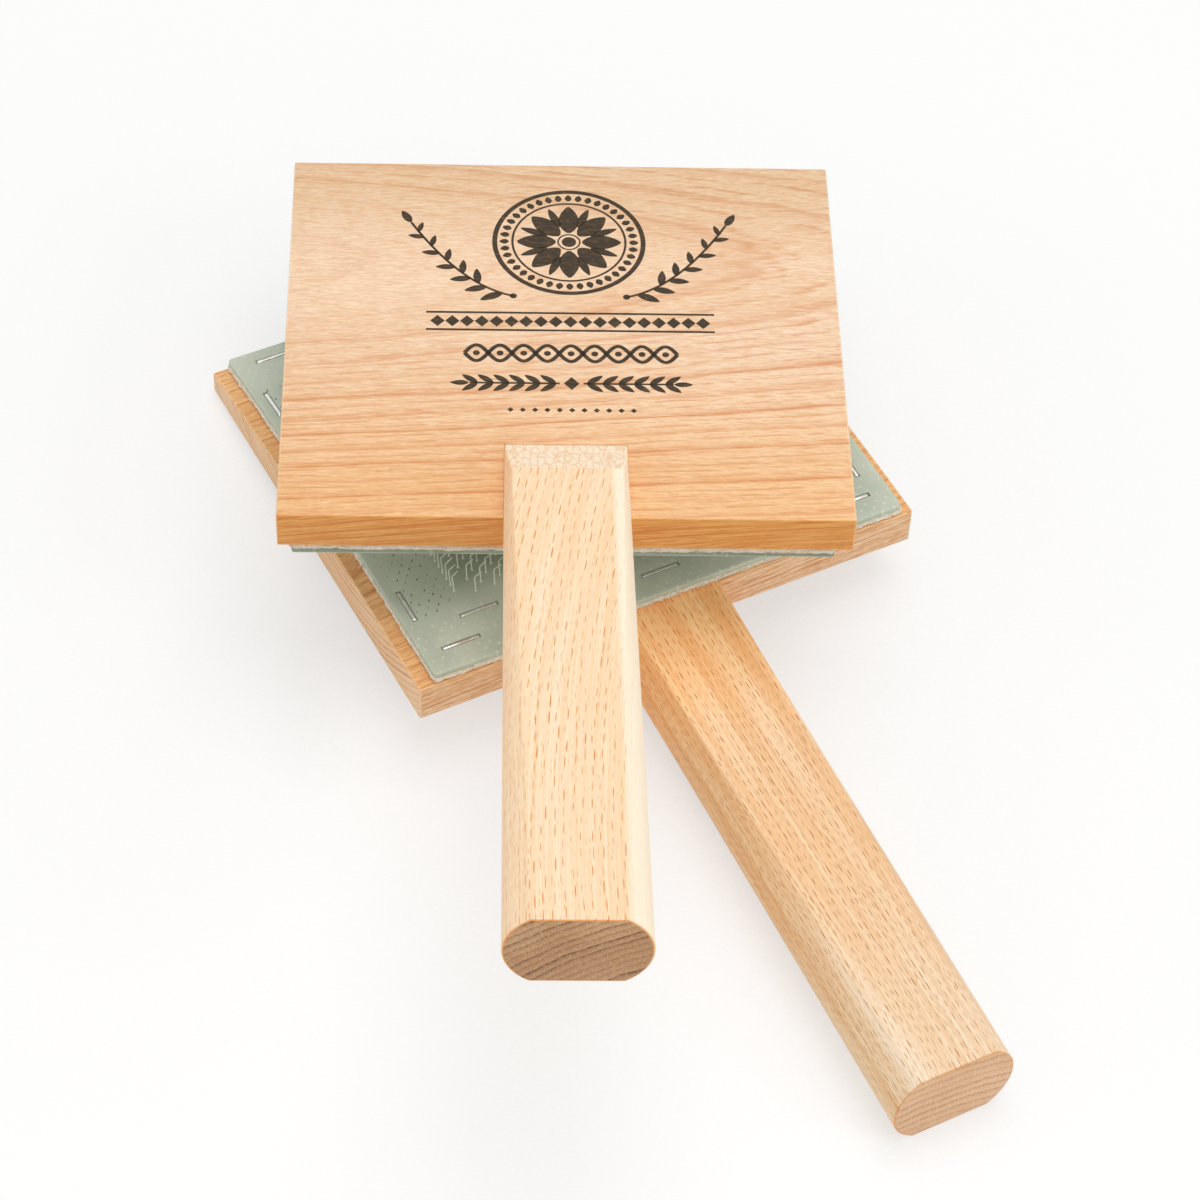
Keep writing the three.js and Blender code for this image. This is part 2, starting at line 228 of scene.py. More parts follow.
def tubes(paths: Array, side: Array, radii: Array, corners: int) -> Array:
    """Carries a round section along each of many paths.

    The section at a station is the station plus radius x (cos(angle) x across + sin(angle) x normal), where
    normal stands square to the path and to side, and across square to both.

    Args:
        paths: Stations, as paths x stations x 3.
        side: For each path, a direction that it never runs along, as paths x 3.
        radii: Radius at each station, to be spread over paths x stations.
        corners: Corners of the section.

    Returns:
        Points, as paths x stations x corners x 3.
    """
    along = np.gradient(paths, axis=1)
    along /= np.linalg.norm(along, axis=-1, keepdims=True)
    normal = np.cross(np.broadcast_to(side[:, None], along.shape), along)
    normal /= np.linalg.norm(normal, axis=-1, keepdims=True)
    across = np.cross(along, normal)
    angle = even_angles(corners)
    spoke = np.cos(angle)[:, None] * across[..., None, :] + np.sin(angle)[:, None] * normal[..., None, :]
    return paths[..., None, :] + np.broadcast_to(radii, paths.shape[:2])[..., None, None] * spoke


def smooth_noise(rng: np.random.Generator, shape: tuple[int, int], passes: int) -> Array:
    """Makes noise that runs softly round a ring: each pass averages every value with its two neighbours.

    Args:
        rng: The seeded source.
        shape: Rows and values in a row.
        passes: How many times the neighbours are averaged.

    Returns:
        Rows of values with a spread of 1.
    """
    values = rng.normal(size=shape)
    for _ in range(passes):
        values = (np.roll(values, 1, axis=1) + 2 * values + np.roll(values, -1, axis=1)) / 4
    return values / values.std()


# ---------------- the frame of a card


class Fibres(Enum):
    """The card axis that a piece's fibres follow, which its pattern has as its first."""

    ACROSS = "x"
    ALONG = "y"


@dataclass(frozen=True)
class CardFrame:
    """Where a card lies in the world.

    Attributes:
        axes: The card's x, y and z as rows of world directions.
        origin: The card's origin in metres.
        BACK_MOUNT_Y: The back mount's distance from the board's near edge in millimetres.
    """

    axes: Array
    origin: Array

    BACK_MOUNT_Y = 90.0

    @classmethod
    def of(cls, card: str) -> "CardFrame":
        """Reads a card's frame from its two mounts: the back looks along -z, and the handle's end along -y.

        Args:
            card: lower or upper.

        Returns:
            The frame.
        """
        mounts = {mount["name"]: mount for mount in frame["record"]["mounts"]}
        back, end = mounts[f"{card}_board_back"], mounts[f"{card}_handle_end"]
        z = -np.array(back["axis"], float)
        z /= np.linalg.norm(z)
        x = np.cross(-np.array(end["axis"], float), z)
        x /= np.linalg.norm(x)
        y = np.cross(z, x)
        return cls(np.stack([x, y, z]), np.array(back["pos_m"], float) - y * cls.BACK_MOUNT_Y * MM)

    def world(self, points: Array) -> Array:
        """Turns card millimetres into world metres: origin + x, y and z shares of the axes."""
        return self.origin + points @ self.axes * MM

    def mapping(self, along: Fibres) -> tuple[Vector, Triple]:
        """Gives the location and turn with which a Mapping node turns world millimetres into the card's.

        Args:
            along: The card axis that becomes the pattern's first one.

        Returns:
            Location in millimetres and Euler turn.
        """
        rows = self.axes if along is Fibres.ACROSS else np.stack([self.axes[1], -self.axes[0], self.axes[2]])
        return Vector(-rows @ self.origin / MM), Matrix(rows.tolist()).to_euler("XYZ")


# ---------------- materials


def numbered(values: Sequence[object]) -> dict[str, object]:
    """Names values in0, in1 and so on, after the inputs of a node that they are for."""
    return {f"in{i}": value for i, value in enumerate(values)}


class Shader:
    """A procedural material, or a sky, under construction."""

    def __init__(self, name: str, sky: bool = False) -> None:
        """Starts an empty material or sky.

        Args:
            name: Its name.
            sky: Whether it is a sky.
        """
        self.owner = (bpy.data.worlds if sky else bpy.data.materials).new(name)
        self.owner.use_nodes = True
        self.tree = self.owner.node_tree
        self.tree.nodes.clear()

    def node(self, kind: str, settings: dict | None = None, **inputs: object) -> bpy.types.Node:
        """Adds a node.

        Args:
            kind: The node's type, without the ShaderNode before it.
            settings: Its properties.
            **inputs: Values or sockets for its inputs, with _ for each space; in0, in1 name them by number.

        Returns:
            The node.
        """
        made = self.tree.nodes.new("ShaderNode" + kind)
        for key, value in (settings or {}).items():
            setattr(made, key, value)
        for key, value in inputs.items():
            by_number = key.startswith("in") and key[2:].isdigit()
            socket = made.inputs[int(key[2:]) if by_number else key.replace("_", " ")]
            if isinstance(value, Socket):
                self.tree.links.new(value, socket)
            else:
                socket.default_value = value
        return made

    def math(self, operation: str, *values: object, clamp: bool = False) -> Socket:
        """Returns the result of a Math node on the values."""
        settings = {"operation": operation, "use_clamp": clamp}
        return self.node("Math", settings, **numbered(values)).outputs[0]

    def product(self, first: object, *others: object) -> Socket:
        """Multiplies the values.

        Args:
            first: The first value.
            *others: The rest.

        Returns:
            Their product.
        """
        for value in others:
            first = self.math("MULTIPLY", first, value)
        return first

    def vector(self, operation: str, *values: object) -> Socket:
        """Returns the result of a Vector Math node on the values."""
        made = self.node("VectorMath", {"operation": operation}, **numbered(values))
        return made.outputs["Value" if operation == "LENGTH" else "Vector"]

    def axes(self, vector: Socket) -> Sequence[Socket]:
        """Returns the vector's x, y and z."""
        return self.node("SeparateXYZ", Vector=vector).outputs

    def seen(self) -> Socket:
        """Returns 1 for the camera and in reflections, and 0 for the light that falls on other things."""
        path = self.node("LightPath").outputs
        return self.math("MAXIMUM", path["Is Camera Ray"], path["Is Glossy Ray"])

    def scattered(
        self, grid: Socket, size: Sequence[float], stray: Sequence[float]
    ) -> tuple[Socket, Socket]:
        """Puts one point into each cell of a grid, at 0.5 + stray x (chance - 0.5) of the cell.

        Args:
            grid: The place, in cells.
            size: A cell's size in millimetres.
            stray: How far the point strays from the middle on each axis, as a share of the cell.

        Returns:
            The place in millimetres from the cell's point, and the cell's three chances as a vector.
        """
        chance = self.node("TexWhiteNoise", Vector=self.vector("FLOOR", grid)).outputs["Color"]
        middle = tuple(0.5 - share / 2 for share in stray)
        point = self.node("Mapping", Vector=chance, Scale=tuple(stray), Location=middle).outputs[0]
        return self.scaled(self.vector("SUBTRACT", self.vector("FRACTION", grid), point), size), chance

    def place(self, card: CardFrame, along: Fibres = Fibres.ACROSS) -> Socket:
        """Finds the shaded point in the card's own millimetres.

        Args:
            card: The card's frame.
            along: The card axis that comes first.

        Returns:
            The point.
        """
        location, turn = card.mapping(along)
        where = self.node("TexCoord").outputs["Object"]
        made = self.node("Mapping", Vector=where, Location=location, Rotation=turn, Scale=(1 / MM,) * 3)
        return made.outputs[0]

    def over_face(self, axis: Sequence[Socket]) -> Socket:
        """Measures the height over the board's crowned face: z - thickness + (y - crown_y)^2 / 2R.

        Args:
            axis: The point's x, y and z in the card's millimetres; R is the crown's radius.

        Returns:
            The height in millimetres.
        """
        off = self.math("SUBTRACT", axis[1], Board.crown_y)
        drop = self.math("DIVIDE", self.product(off, off), 2 * Board.crown_radius)
        return self.math("SUBTRACT", self.math("ADD", axis[2], drop), Board.thickness)

    def scaled(self, vector: Socket, scale: Sequence[float], shift: float = 0.0) -> Socket:
        """Returns the vector with each axis multiplied by its scale, and moved by shift."""
        made = self.node("Mapping", Vector=vector, Scale=tuple(scale), Location=(shift, 0.0, 0.0))
        return made.outputs[0]

    def noise(
        self,
        vector: Socket,
        scale: Sequence[float],
        detail: float = 2.0,
        roughness: float = 0.5,
        shift: float = 0.0,
    ) -> Socket:
        """Returns smooth noise, 0 to 1, with scale features in a unit of each axis."""
        where = self.scaled(vector, scale, shift)
        return self.node("TexNoise", Vector=where, Scale=1.0, Detail=detail, Roughness=roughness).outputs[0]

    def step(self, value: object, low: float, high: float, start: float = 0.0, end: float = 1.0) -> Socket:
        """Returns start below low and end above high, with a smooth passage between."""
        ends = {"From_Min": low, "From_Max": high, "To_Min": start, "To_Max": end}
        return self.node("MapRange", {"interpolation_type": "SMOOTHSTEP"}, Value=value, **ends).outputs[0]

    def mix(self, share: object, first: object, second: object, blend: str = "MIX") -> Socket:
        """Returns a colour that goes from first to second as share goes from 0 to 1."""
        settings = {"data_type": "RGBA", "blend_type": blend}
        return self.node("Mix", settings, in0=share, in6=first, in7=second).outputs[2]

    def ramp(self, share: Socket, stops: Sequence[Pair]) -> Socket:
        """Reads a grey level off a ramp.

        Args:
            share: The place on the ramp, 0 to 1.
            stops: The place and the level of each of its stops.

        Returns:
            The level.
        """
        made = self.node("ValToRGB", Fac=share)
        elements = made.color_ramp.elements
        while len(elements) < len(stops):
            elements.new(0.5)
        for element, (at, level) in zip(elements, stops):
            element.position = at
            element.color = (level, level, level, 1.0)
        return made.outputs[0]

    def finish(
        self,
        colour: object,
        roughness: object,
        height: object | None = None,
        depth: float = 0.0,
        **sockets: object,
    ) -> Material:
        """Joins the pattern to a surface shader.

        Args:
            colour: Base colour.
            roughness: Roughness.
            height: Height of the relief, 0 to 1.
            depth: The relief's depth in millimetres.
            **sockets: Further sockets of the shader.

        Returns:
            The material.
        """
        if height is not None:
            bump = self.node("Bump", Height=height, Distance=depth * MM, Strength=1.0)
            sockets["Normal"] = bump.outputs[0]
        surface = self.node("BsdfPrincipled", Base_Color=colour, Roughness=roughness, **sockets)
        self.node("OutputMaterial", Surface=surface.outputs[0])
        return self.owner


class Bound(IntEnum):
    """What bounds a zone: the place along the fibres, across them, or the height over the crowned face."""

    ALONG = 0
    ACROSS = 1
    FACE = 3


@dataclass(frozen=True)
class Zone:
    """A part of a piece where the wood has a hue of its own, or where light or shade is painted in.

    Attributes:
        axis: What bounds it.
        outside: Where on that axis it doesn't show yet, in millimetres.
        inside: Where it shows in full.
        colour: Its hue.
        strength: How much it shows.
        blend: How the hue meets the wood's own.
    """

    axis: Bound
    outside: float
    inside: float
    colour: Colour
    strength: float = 1.0
    blend: str = "MULTIPLY"


@dataclass(frozen=True)
class Rays:
    """Short dark dashes, the wood's rays cut across: one slim ellipsoid in each cell of a loose lattice.

    Attributes:
        colour: Their colour.
        cell: A cell's length, breadth and depth in millimetres.
        half: The ellipsoid's half axes.
        share: The share of the cells that hold one.
        strength: How much they show.
        stray: How far they stray across, as a share of the cell.
        level: The depth of the face from which they go on round both sides, as slim there as on the face;
            without it they end in depth.
        STRAY_ALONG: How far they stray along, as a share of the cell.
        LEAST_SIZE: The smallest one's size, as a share of the largest's.
        LEAST_LEVEL: How much the faintest one shows, as a share of the plainest.
        SOFT_EDGE: The share of its half axes at which one is at its darkest.
    """

    colour: Colour
    cell: Triple
    half: Triple
    share: float
    strength: float
    stray: float = 0.5
    level: float | None = None

    STRAY_ALONG, LEAST_SIZE, LEAST_LEVEL, SOFT_EDGE = 0.1, 0.7, 0.5, 0.7

    @staticmethod
    def slid(shader: Shader, place: Socket, columns: Sequence[float], axis: str) -> Socket:
        """Slides each column of cells by a chance of its own.

        Args:
            shader: The material under construction.
            place: The point, in cells.
            columns: 1 for each axis that tells one column from another, and 0 for the rest.
            axis: The axis that they slide along, X or Z.

        Returns:
            The point in the slid cells.
        """
        column = shader.vector("FLOOR", shader.scaled(place, columns))
        chance = shader.node("TexWhiteNoise", Vector=column).outputs["Value"]
        return shader.vector("ADD", place, shader.node("CombineXYZ", **{axis: chance}).outputs[0])

    def mark(self, shader: Shader, straight: Socket) -> Socket:
        """Draws the dashes, where the distance to a cell's point, in half axes, is under 1.

        Each column of cells slides along the fibres and in depth by a chance of its own. Round a side, the
        place across is y + sign(y) |z - level|.

        Args:
            shader: The material under construction.
            straight: The point with its fibres drawn straight.

        Returns:
            How much of a dash there is, 0 to 1.
        """
        if self.level is not None:
            axis = shader.axes(straight)
            off = shader.math("ABSOLUTE", shader.math("SUBTRACT", axis[2], self.level))
            around = shader.math("MULTIPLY_ADD", shader.math("SIGN", axis[1]), off, axis[1])
            straight = shader.node("CombineXYZ", X=axis[0], Y=around).outputs[0]
        place = shader.scaled(straight, [1 / size for size in self.cell])
        place = self.slid(shader, place, (0.0, 1.0, 0.0), "Z")
        grid = self.slid(shader, place, (0.0, 1.0, 1.0), "X")
        away, chance = shader.scattered(grid, self.cell, (self.STRAY_ALONG, self.stray, 0.0))
        far = shader.vector("LENGTH", shader.scaled(away, [1 / half for half in self.half]))
        chances = shader.axes(chance)
        size = shader.step(chances[1], 0.0, 1.0, self.LEAST_SIZE, 1.0)
        dash = shader.step(shader.math("DIVIDE", far, size), 1.0, self.SOFT_EDGE)
        chosen = shader.step(chances[0], 1.0 - self.share, 1.02 - self.share)
        level = shader.step(chances[2], 0.0, 1.0, self.LEAST_LEVEL, 1.0)
        return shader.product(dash, chosen, level)


@dataclass(frozen=True)
class Wood:
    """Bare sanded hardwood, as one solid pattern through the whole piece.

    The rings are the whole numbers of r / ring_width, where r is the distance from a wandering heart line.

    Attributes:
        pale: Early wood.
        warm: Broad warmer bands.
        late: The narrow late wood at each ring's end.
        streak: Fine fibres.
        glint: The palest fibres.
        heart: The heart's place across and in depth, in millimetres.
        ring_width: Growth of a year in millimetres.
        ring_jitter: How far a ring strays, as a share of its width.
        slant: How far the fibres drift across for each millimetre along.
        bend: How fast that drift grows, for each millimetre along.
        rise: How far they drift in depth.
        wander: How far the fibres wander across, in millimetres.
        band: How many broad bands lie in a millimetre across.
        late_strength: How much the late wood shows.
        streak_strength: How much the fibres show.
        glint_strength: How much the palest fibres show.
        fine_lines: How much the finer lines between the rings show.
        line_width: The width of a ring's dark line, as a share of the ring.
        core: The radii between which the rings come from faint to clear.
        grain: How many fibres lie in a millimetre, along and across.
        rays: The sets of rays that show.
        scales: How much the ragged lines of a cut across the fibres show.
        zones: Parts with a hue of their own, or with painted light or shade.
        shift: Moves the pattern, so that two pieces differ. Whole numbers added to it keep its noises apart.
        DRIFT, RING_STRAY, BREAKS, CUT_CELLS, CUT_BREAKS: How many features lie in a millimetre, along the
            fibres, across them and in depth, of the fibres' wander, the rings' stray, the breaks in their
            lines, the cells of a cut across, and the breaks in those cells' borders.
        BAND_LENGTH: How many broad bands lie in a millimetre along.
    """

    pale: Colour
    warm: Colour
    late: Colour
    streak: Colour
    glint: Colour
    heart: Pair = (120.0, -60.0)
    ring_width: float = 8.0
    ring_jitter: float = 0.6
    slant: float = 0.05
    bend: float = 0.0
    rise: float = 0.0
    wander: float = 3.0
    band: float = 0.03
    late_strength: float = 0.7
    streak_strength: float = 0.55
    glint_strength: float = 0.5
    fine_lines: float = 0.4
    line_width: float = 0.3
    core: Pair = (-2.0, -1.0)
    grain: Pair = (0.035, 2.1)
    rays: tuple[Rays, ...] = ()
    scales: float = 0.0
    zones: tuple[Zone, ...] = ()
    shift: float = 0.0

    DRIFT = (0.008, 0.03, 0.03)
    RING_STRAY = (0.006, 0.14, 0.14)
    BREAKS = (0.03, 0.8, 0.8)
    CUT_CELLS = (0.1, 0.5, 0.2)
    CUT_BREAKS = (0.7, 0.7, 0.7)
    BAND_LENGTH = 0.006

    def rings(self, shader: Shader, straight: Socket, place: Socket) -> Socket:
        """Draws the late wood: a thin line at each ring's end, stronger in some years than in others.

        Args:
            shader: The material under construction.
            straight: The point with its fibres drawn straight.
            place: The point in the card's millimetres.

        Returns:
            How much late wood there is, 0 to 1.
        """
        axis = shader.axes(straight)
        far = shader.math("SUBTRACT", axis[1], self.heart[0])
        deep = shader.math("SUBTRACT", axis[2], self.heart[1])
        radius = shader.math("SQRT", shader.math("ADD", shader.product(far, far), shader.product(deep, deep)))
        jitter = shader.noise(place, self.RING_STRAY, 3.0, shift=self.shift + 7)
        count = shader.math("DIVIDE", radius, self.ring_width)
        count = shader.math("MULTIPLY_ADD", jitter, self.ring_jitter, count)
        year = shader.node("TexWhiteNoise", {"noise_dimensions": "1D"}, W=shader.math("FLOOR", count))
        wide = self.line_width
        # Place and darkness across one ring: a slow rise to the line near its end, and a sharp fall.
        rise = [(1 - 1.5 * wide, 0.06), (1 - 0.6 * wide, 0.42), (1 - 0.23 * wide, 1.0)]
        stops = [(0.0, 0.3), (0.06, 0.0), *rise, (1.0, 0.35)]
        line = shader.ramp(shader.math("FRACT", count), stops)
        line = shader.product(line, shader.step(year.outputs["Value"], 0.0, 1.0, 0.4, 1.0))
        between = shader.ramp(shader.math("FRACT", shader.product(count, 2.7)), stops)
        broken = shader.noise(straight, self.BREAKS, shift=self.shift + 11)
        fine = shader.product(between, self.fine_lines, shader.step(broken, 0.4, 0.56))
        whole = shader.step(broken, 0.32, 0.56, 0.5, 1.0)
        level = shader.product(whole, shader.step(radius, *self.core, 0.25, 1.0))
        return shader.product(shader.math("MAXIMUM", line, fine), level)

    def cut(self, shader: Shader, place: Socket) -> Socket:
        """Draws the ragged lines of a cut across the fibres: the borders between small irregular cells.

        Args:
            shader: The material under construction.
            place: The point in the card's millimetres.

        Returns:
            How much of a line there is, 0 to 1.
        """
        where = shader.scaled(place, self.CUT_CELLS, self.shift)
        cells = shader.node("TexVoronoi", {"feature": "DISTANCE_TO_EDGE"}, Vector=where, Scale=1.0)
        border = cells.outputs[0]
        broken = shader.noise(place, self.CUT_BREAKS)
        return shader.product(shader.step(border, 0.17, 0.04), shader.step(broken, 0.4, 0.55, 0.25, 1.0))

    def material(self, name: str, card: CardFrame, along: Fibres) -> Material:
        """Builds the material for one piece.

        The fibres are drawn straight first: the place across is y - slant x - bend x^2 and a noise from -1 to
        1 times wander, and the depth is z - rise x.

        Args:
            name: The material's name.
            card: The card that the piece belongs to.
            along: The card axis that the fibres follow.

        Returns:
            The material.
        """
        shader = Shader(name)
        place = shader.place(card, along)
        axis = shader.axes(place)
        broad = shader.noise(place, self.DRIFT, shift=self.shift)
        drift = shader.product(shader.math("SUBTRACT", broad, 0.5), 2 * self.wander)
        lean = shader.product(axis[0], shader.math("MULTIPLY_ADD", axis[0], -self.bend, -self.slant))
        across = shader.math("ADD", shader.math("ADD", axis[1], lean), drift)
        depth = shader.math("MULTIPLY_ADD", axis[0], -self.rise, axis[2])
        straight = shader.node("CombineXYZ", X=axis[0], Y=across, Z=depth).outputs[0]
        late = self.rings(shader, straight, place)
        length, breadth = self.grain
        bands = shader.noise(straight, (self.BAND_LENGTH, self.band, self.band), shift=self.shift + 5)
        fibre = shader.noise(straight, (length, breadth, breadth), 3.0, 0.6, self.shift)
        fine = shader.noise(straight, (2.5 * length, 2 * breadth, 2 * breadth), 2.0, 0.6, self.shift + 2)
        colour = shader.mix(shader.step(bands, 0.38, 0.62), self.pale, self.warm)
        streaks = shader.product(shader.step(fibre, 0.47, 0.62), self.streak_strength)
        colour = shader.mix(streaks, colour, self.streak)
        glints = shader.product(shader.step(fibre, 0.48, 0.36), self.glint_strength)
        colour = shader.mix(glints, colour, self.glint)
        pores = shader.product(shader.step(fine, 0.55, 0.68), 0.5 * self.streak_strength)
        colour = shader.mix(pores, colour, self.late)
        colour = shader.mix(shader.product(late, self.late_strength), colour, self.late)
        relief = shader.math("MULTIPLY_ADD", fine, -0.5, shader.product(fibre, -0.5))
        for rays in self.rays:
            mark = rays.mark(shader, straight)
            colour = shader.mix(shader.product(mark, rays.strength), colour, rays.colour)
            relief = shader.math("MULTIPLY_ADD", mark, -0.3, relief)
        if self.scales:
            lines = self.cut(shader, place)
            colour = shader.mix(shader.product(lines, self.scales), colour, self.late)
            relief = shader.math("MULTIPLY_ADD", lines, -0.8, relief)
        for zone in self.zones:
            bound = shader.over_face(axis) if zone.axis is Bound.FACE else axis[zone.axis]
            share = shader.step(bound, zone.outside, zone.inside, 0.0, zone.strength)
            colour = shader.mix(share, colour, zone.colour, zone.blend)
        roughness = shader.step(fibre, 0.3, 0.7, 0.62, 0.5)
        return shader.finish(colour, roughness, relief, 0.035, Specular_IOR_Level=0.35)


# A handle's fibres sink by the tangent of its tilt, and its flats meet the board at these depths.
BAR_RISE = 0.1317
UPPER_FLAT, LOWER_FLAT = 12.5, -13.1


class Timber(Enum):
    """The woods of the pair."""

    UPPER_BOARD = Wood(
        pale=tone(244, 213, 181),
        warm=tone(239, 204, 168),
        late=tone(212, 138, 84),
        streak=tone(230, 184, 140),
        glint=tone(252, 228, 202),
        heart=(107.0, -54.0),
        ring_width=5.6,
        slant=-0.015,
        rise=0.095,
        late_strength=0.9,
        fine_lines=0.75,
        core=(52.0, 66.0),
        rays=(Rays(tone(212, 146, 92), (3.6, 0.9, 1.6), (1.6, 0.12, 1.2), 0.75, 0.6, level=0.0),),
        zones=(
            Zone(Bound.ACROSS, 75.0, 0.0, (1.0, 0.86, 0.64, 1.0)),
            Zone(Bound.ACROSS, 100.0, 142.0, (0.9, 0.88, 0.82, 1.0)),
            # Darker orange on the near edge face: partly the wood's tone, partly painted shade for a face
            # that gets less light.
            Zone(Bound.ACROSS, 0.35, 0.15, (0.95, 0.77, 0.44, 1.0)),
        ),
    )
    LOWER_BOARD = Wood(
        pale=tone(248, 214, 174),
        warm=tone(242, 200, 154),
        late=tone(190, 116, 62),
        streak=tone(228, 170, 116),
        glint=tone(252, 224, 190),
        heart=(62.0, 88.0),
        ring_width=1.7,
        slant=0.05,
        rise=0.03,
        wander=1.5,
        late_strength=0.9,
        fine_lines=0.6,
        rays=(Rays(tone(180, 108, 54), (3.8, 1.1, 2.0), (1.6, 0.14, 1.5), 0.75, 0.7, level=0.0),),
        zones=(Zone(Bound.FACE, -0.5, -0.2, (1.0, 0.87, 0.65, 1.0)),),
        shift=31.0,
    )
    UPPER_HANDLE = Wood(
        pale=tone(252, 224, 188),
        warm=tone(250, 215, 174),
        late=tone(238, 186, 134),
        streak=tone(244, 202, 156),
        glint=tone(255, 238, 212),
        heart=(48.0, 33.0),
        ring_width=2.6,
        ring_jitter=1.2,
        slant=0.17,
        bend=0.00055,
        rise=BAR_RISE,
        wander=1.5,
        band=0.16,
        late_strength=0.3,
        streak_strength=0.4,
        glint_strength=0.4,
        grain=(0.012, 1.8),
        rays=(
            Rays(tone(222, 142, 62), (6.0, 2.6, 3.2), (3.0, 0.22, 3.0), 0.94, 1.0, level=LOWER_FLAT),
            Rays(tone(230, 164, 96), (3.8, 1.2, 2.0), (1.7, 0.14, 1.6), 0.65, 0.7, level=LOWER_FLAT),
        ),
        zones=(
            # Painted light: the left side is lifted a little, and the right side's bulge paled where the lamp
            # catches it.
            Zone(Bound.ACROSS, -12.0, -16.0, (1.04, 1.03, 1.02, 1.0)),
            Zone(Bound.ACROSS, 11.5, 14.0, tone(255, 246, 224), 0.7, "MIX"),
            Zone(Bound.ALONG, -168.3, -168.6, (0.95, 0.58, 0.32, 1.0)),
        ),
        shift=55.0,
    )
    LOWER_HANDLE = Wood(
        pale=tone(251, 220, 180),
        warm=tone(243, 199, 150),
        late=tone(218, 154, 98),
        streak=tone(232, 180, 128),
        glint=tone(254, 230, 198),
        heart=(-44.0, 36.0),
        ring_width=2.8,
        ring_jitter=1.2,
        slant=0.02,
        rise=BAR_RISE,
        wander=2.0,
        band=0.14,
        late_strength=0.4,
        streak_strength=0.4,
        glint_strength=0.4,
        grain=(0.02, 1.8),
        rays=(
            Rays(tone(186, 112, 50), (4.0, 1.6, 2.4), (1.9, 0.18, 2.4), 0.9, 1.0, 0.6, UPPER_FLAT),
            Rays(tone(204, 136, 76), (3.2, 0.9, 2.0), (1.5, 0.12, 1.8), 0.7, 0.65, 0.6, UPPER_FLAT),
        ),
        zones=(
            # Warmer near the board, with red lifted past the pale wood: partly the wood's tan, partly painted
            # light against the upper card's shadow.
            Zone(Bound.ALONG, -62.0, -4.0, (1.2, 0.98, 0.72, 1.0)),
            # Painted shade: the left side of the bar is darkened and browned.
            Zone(Bound.ACROSS, 13.5, 16.5, (0.96, 0.88, 0.76, 1.0)),
            Zone(Bound.ALONG, -80.0, -160.0, (1.0, 1.13, 1.34, 1.0)),
            Zone(Bound.ALONG, -168.3, -168.6, (0.95, 0.66, 0.4, 1.0)),
        ),
        shift=83.0,
    )
    UPPER_END = Wood(
        pale=tone(226, 180, 134),
        warm=tone(206, 156, 110),
        late=tone(92, 54, 32),
        streak=tone(184, 134, 92),
        glint=tone(234, 192, 148),
        heart=(57.0, 65.0),
        ring_width=2.4,
        ring_jitter=0.9,
        slant=0.0,
        wander=1.0,
        late_strength=1.0,
        streak_strength=0.4,
        fine_lines=0.3,
        line_width=0.58,
        grain=(1.6, 2.2),
        rays=(Rays(tone(238, 198, 158), (1.6, 0.7, 2.4), (0.8, 0.1, 1.1), 0.5, 0.5),),
        shift=12.0,
    )
    LOWER_END = Wood(
        pale=tone(242, 200, 158),
        warm=tone(234, 190, 148),
        late=tone(180, 114, 78),
        streak=tone(216, 168, 126),
        glint=tone(250, 218, 182),
        heart=(12.0, -120.0),
        ring_width=3.1,
        slant=0.0,
        wander=1.0,
        late_strength=0.9,
        streak_strength=0.4,
        fine_lines=0.15,
        line_width=0.42,
        grain=(1.6, 2.2),
        rays=(Rays(tone(252, 224, 194), (1.6, 1.4, 9.0), (1.2, 0.13, 4.6), 0.8, 0.7),),
        shift=27.0,
    )


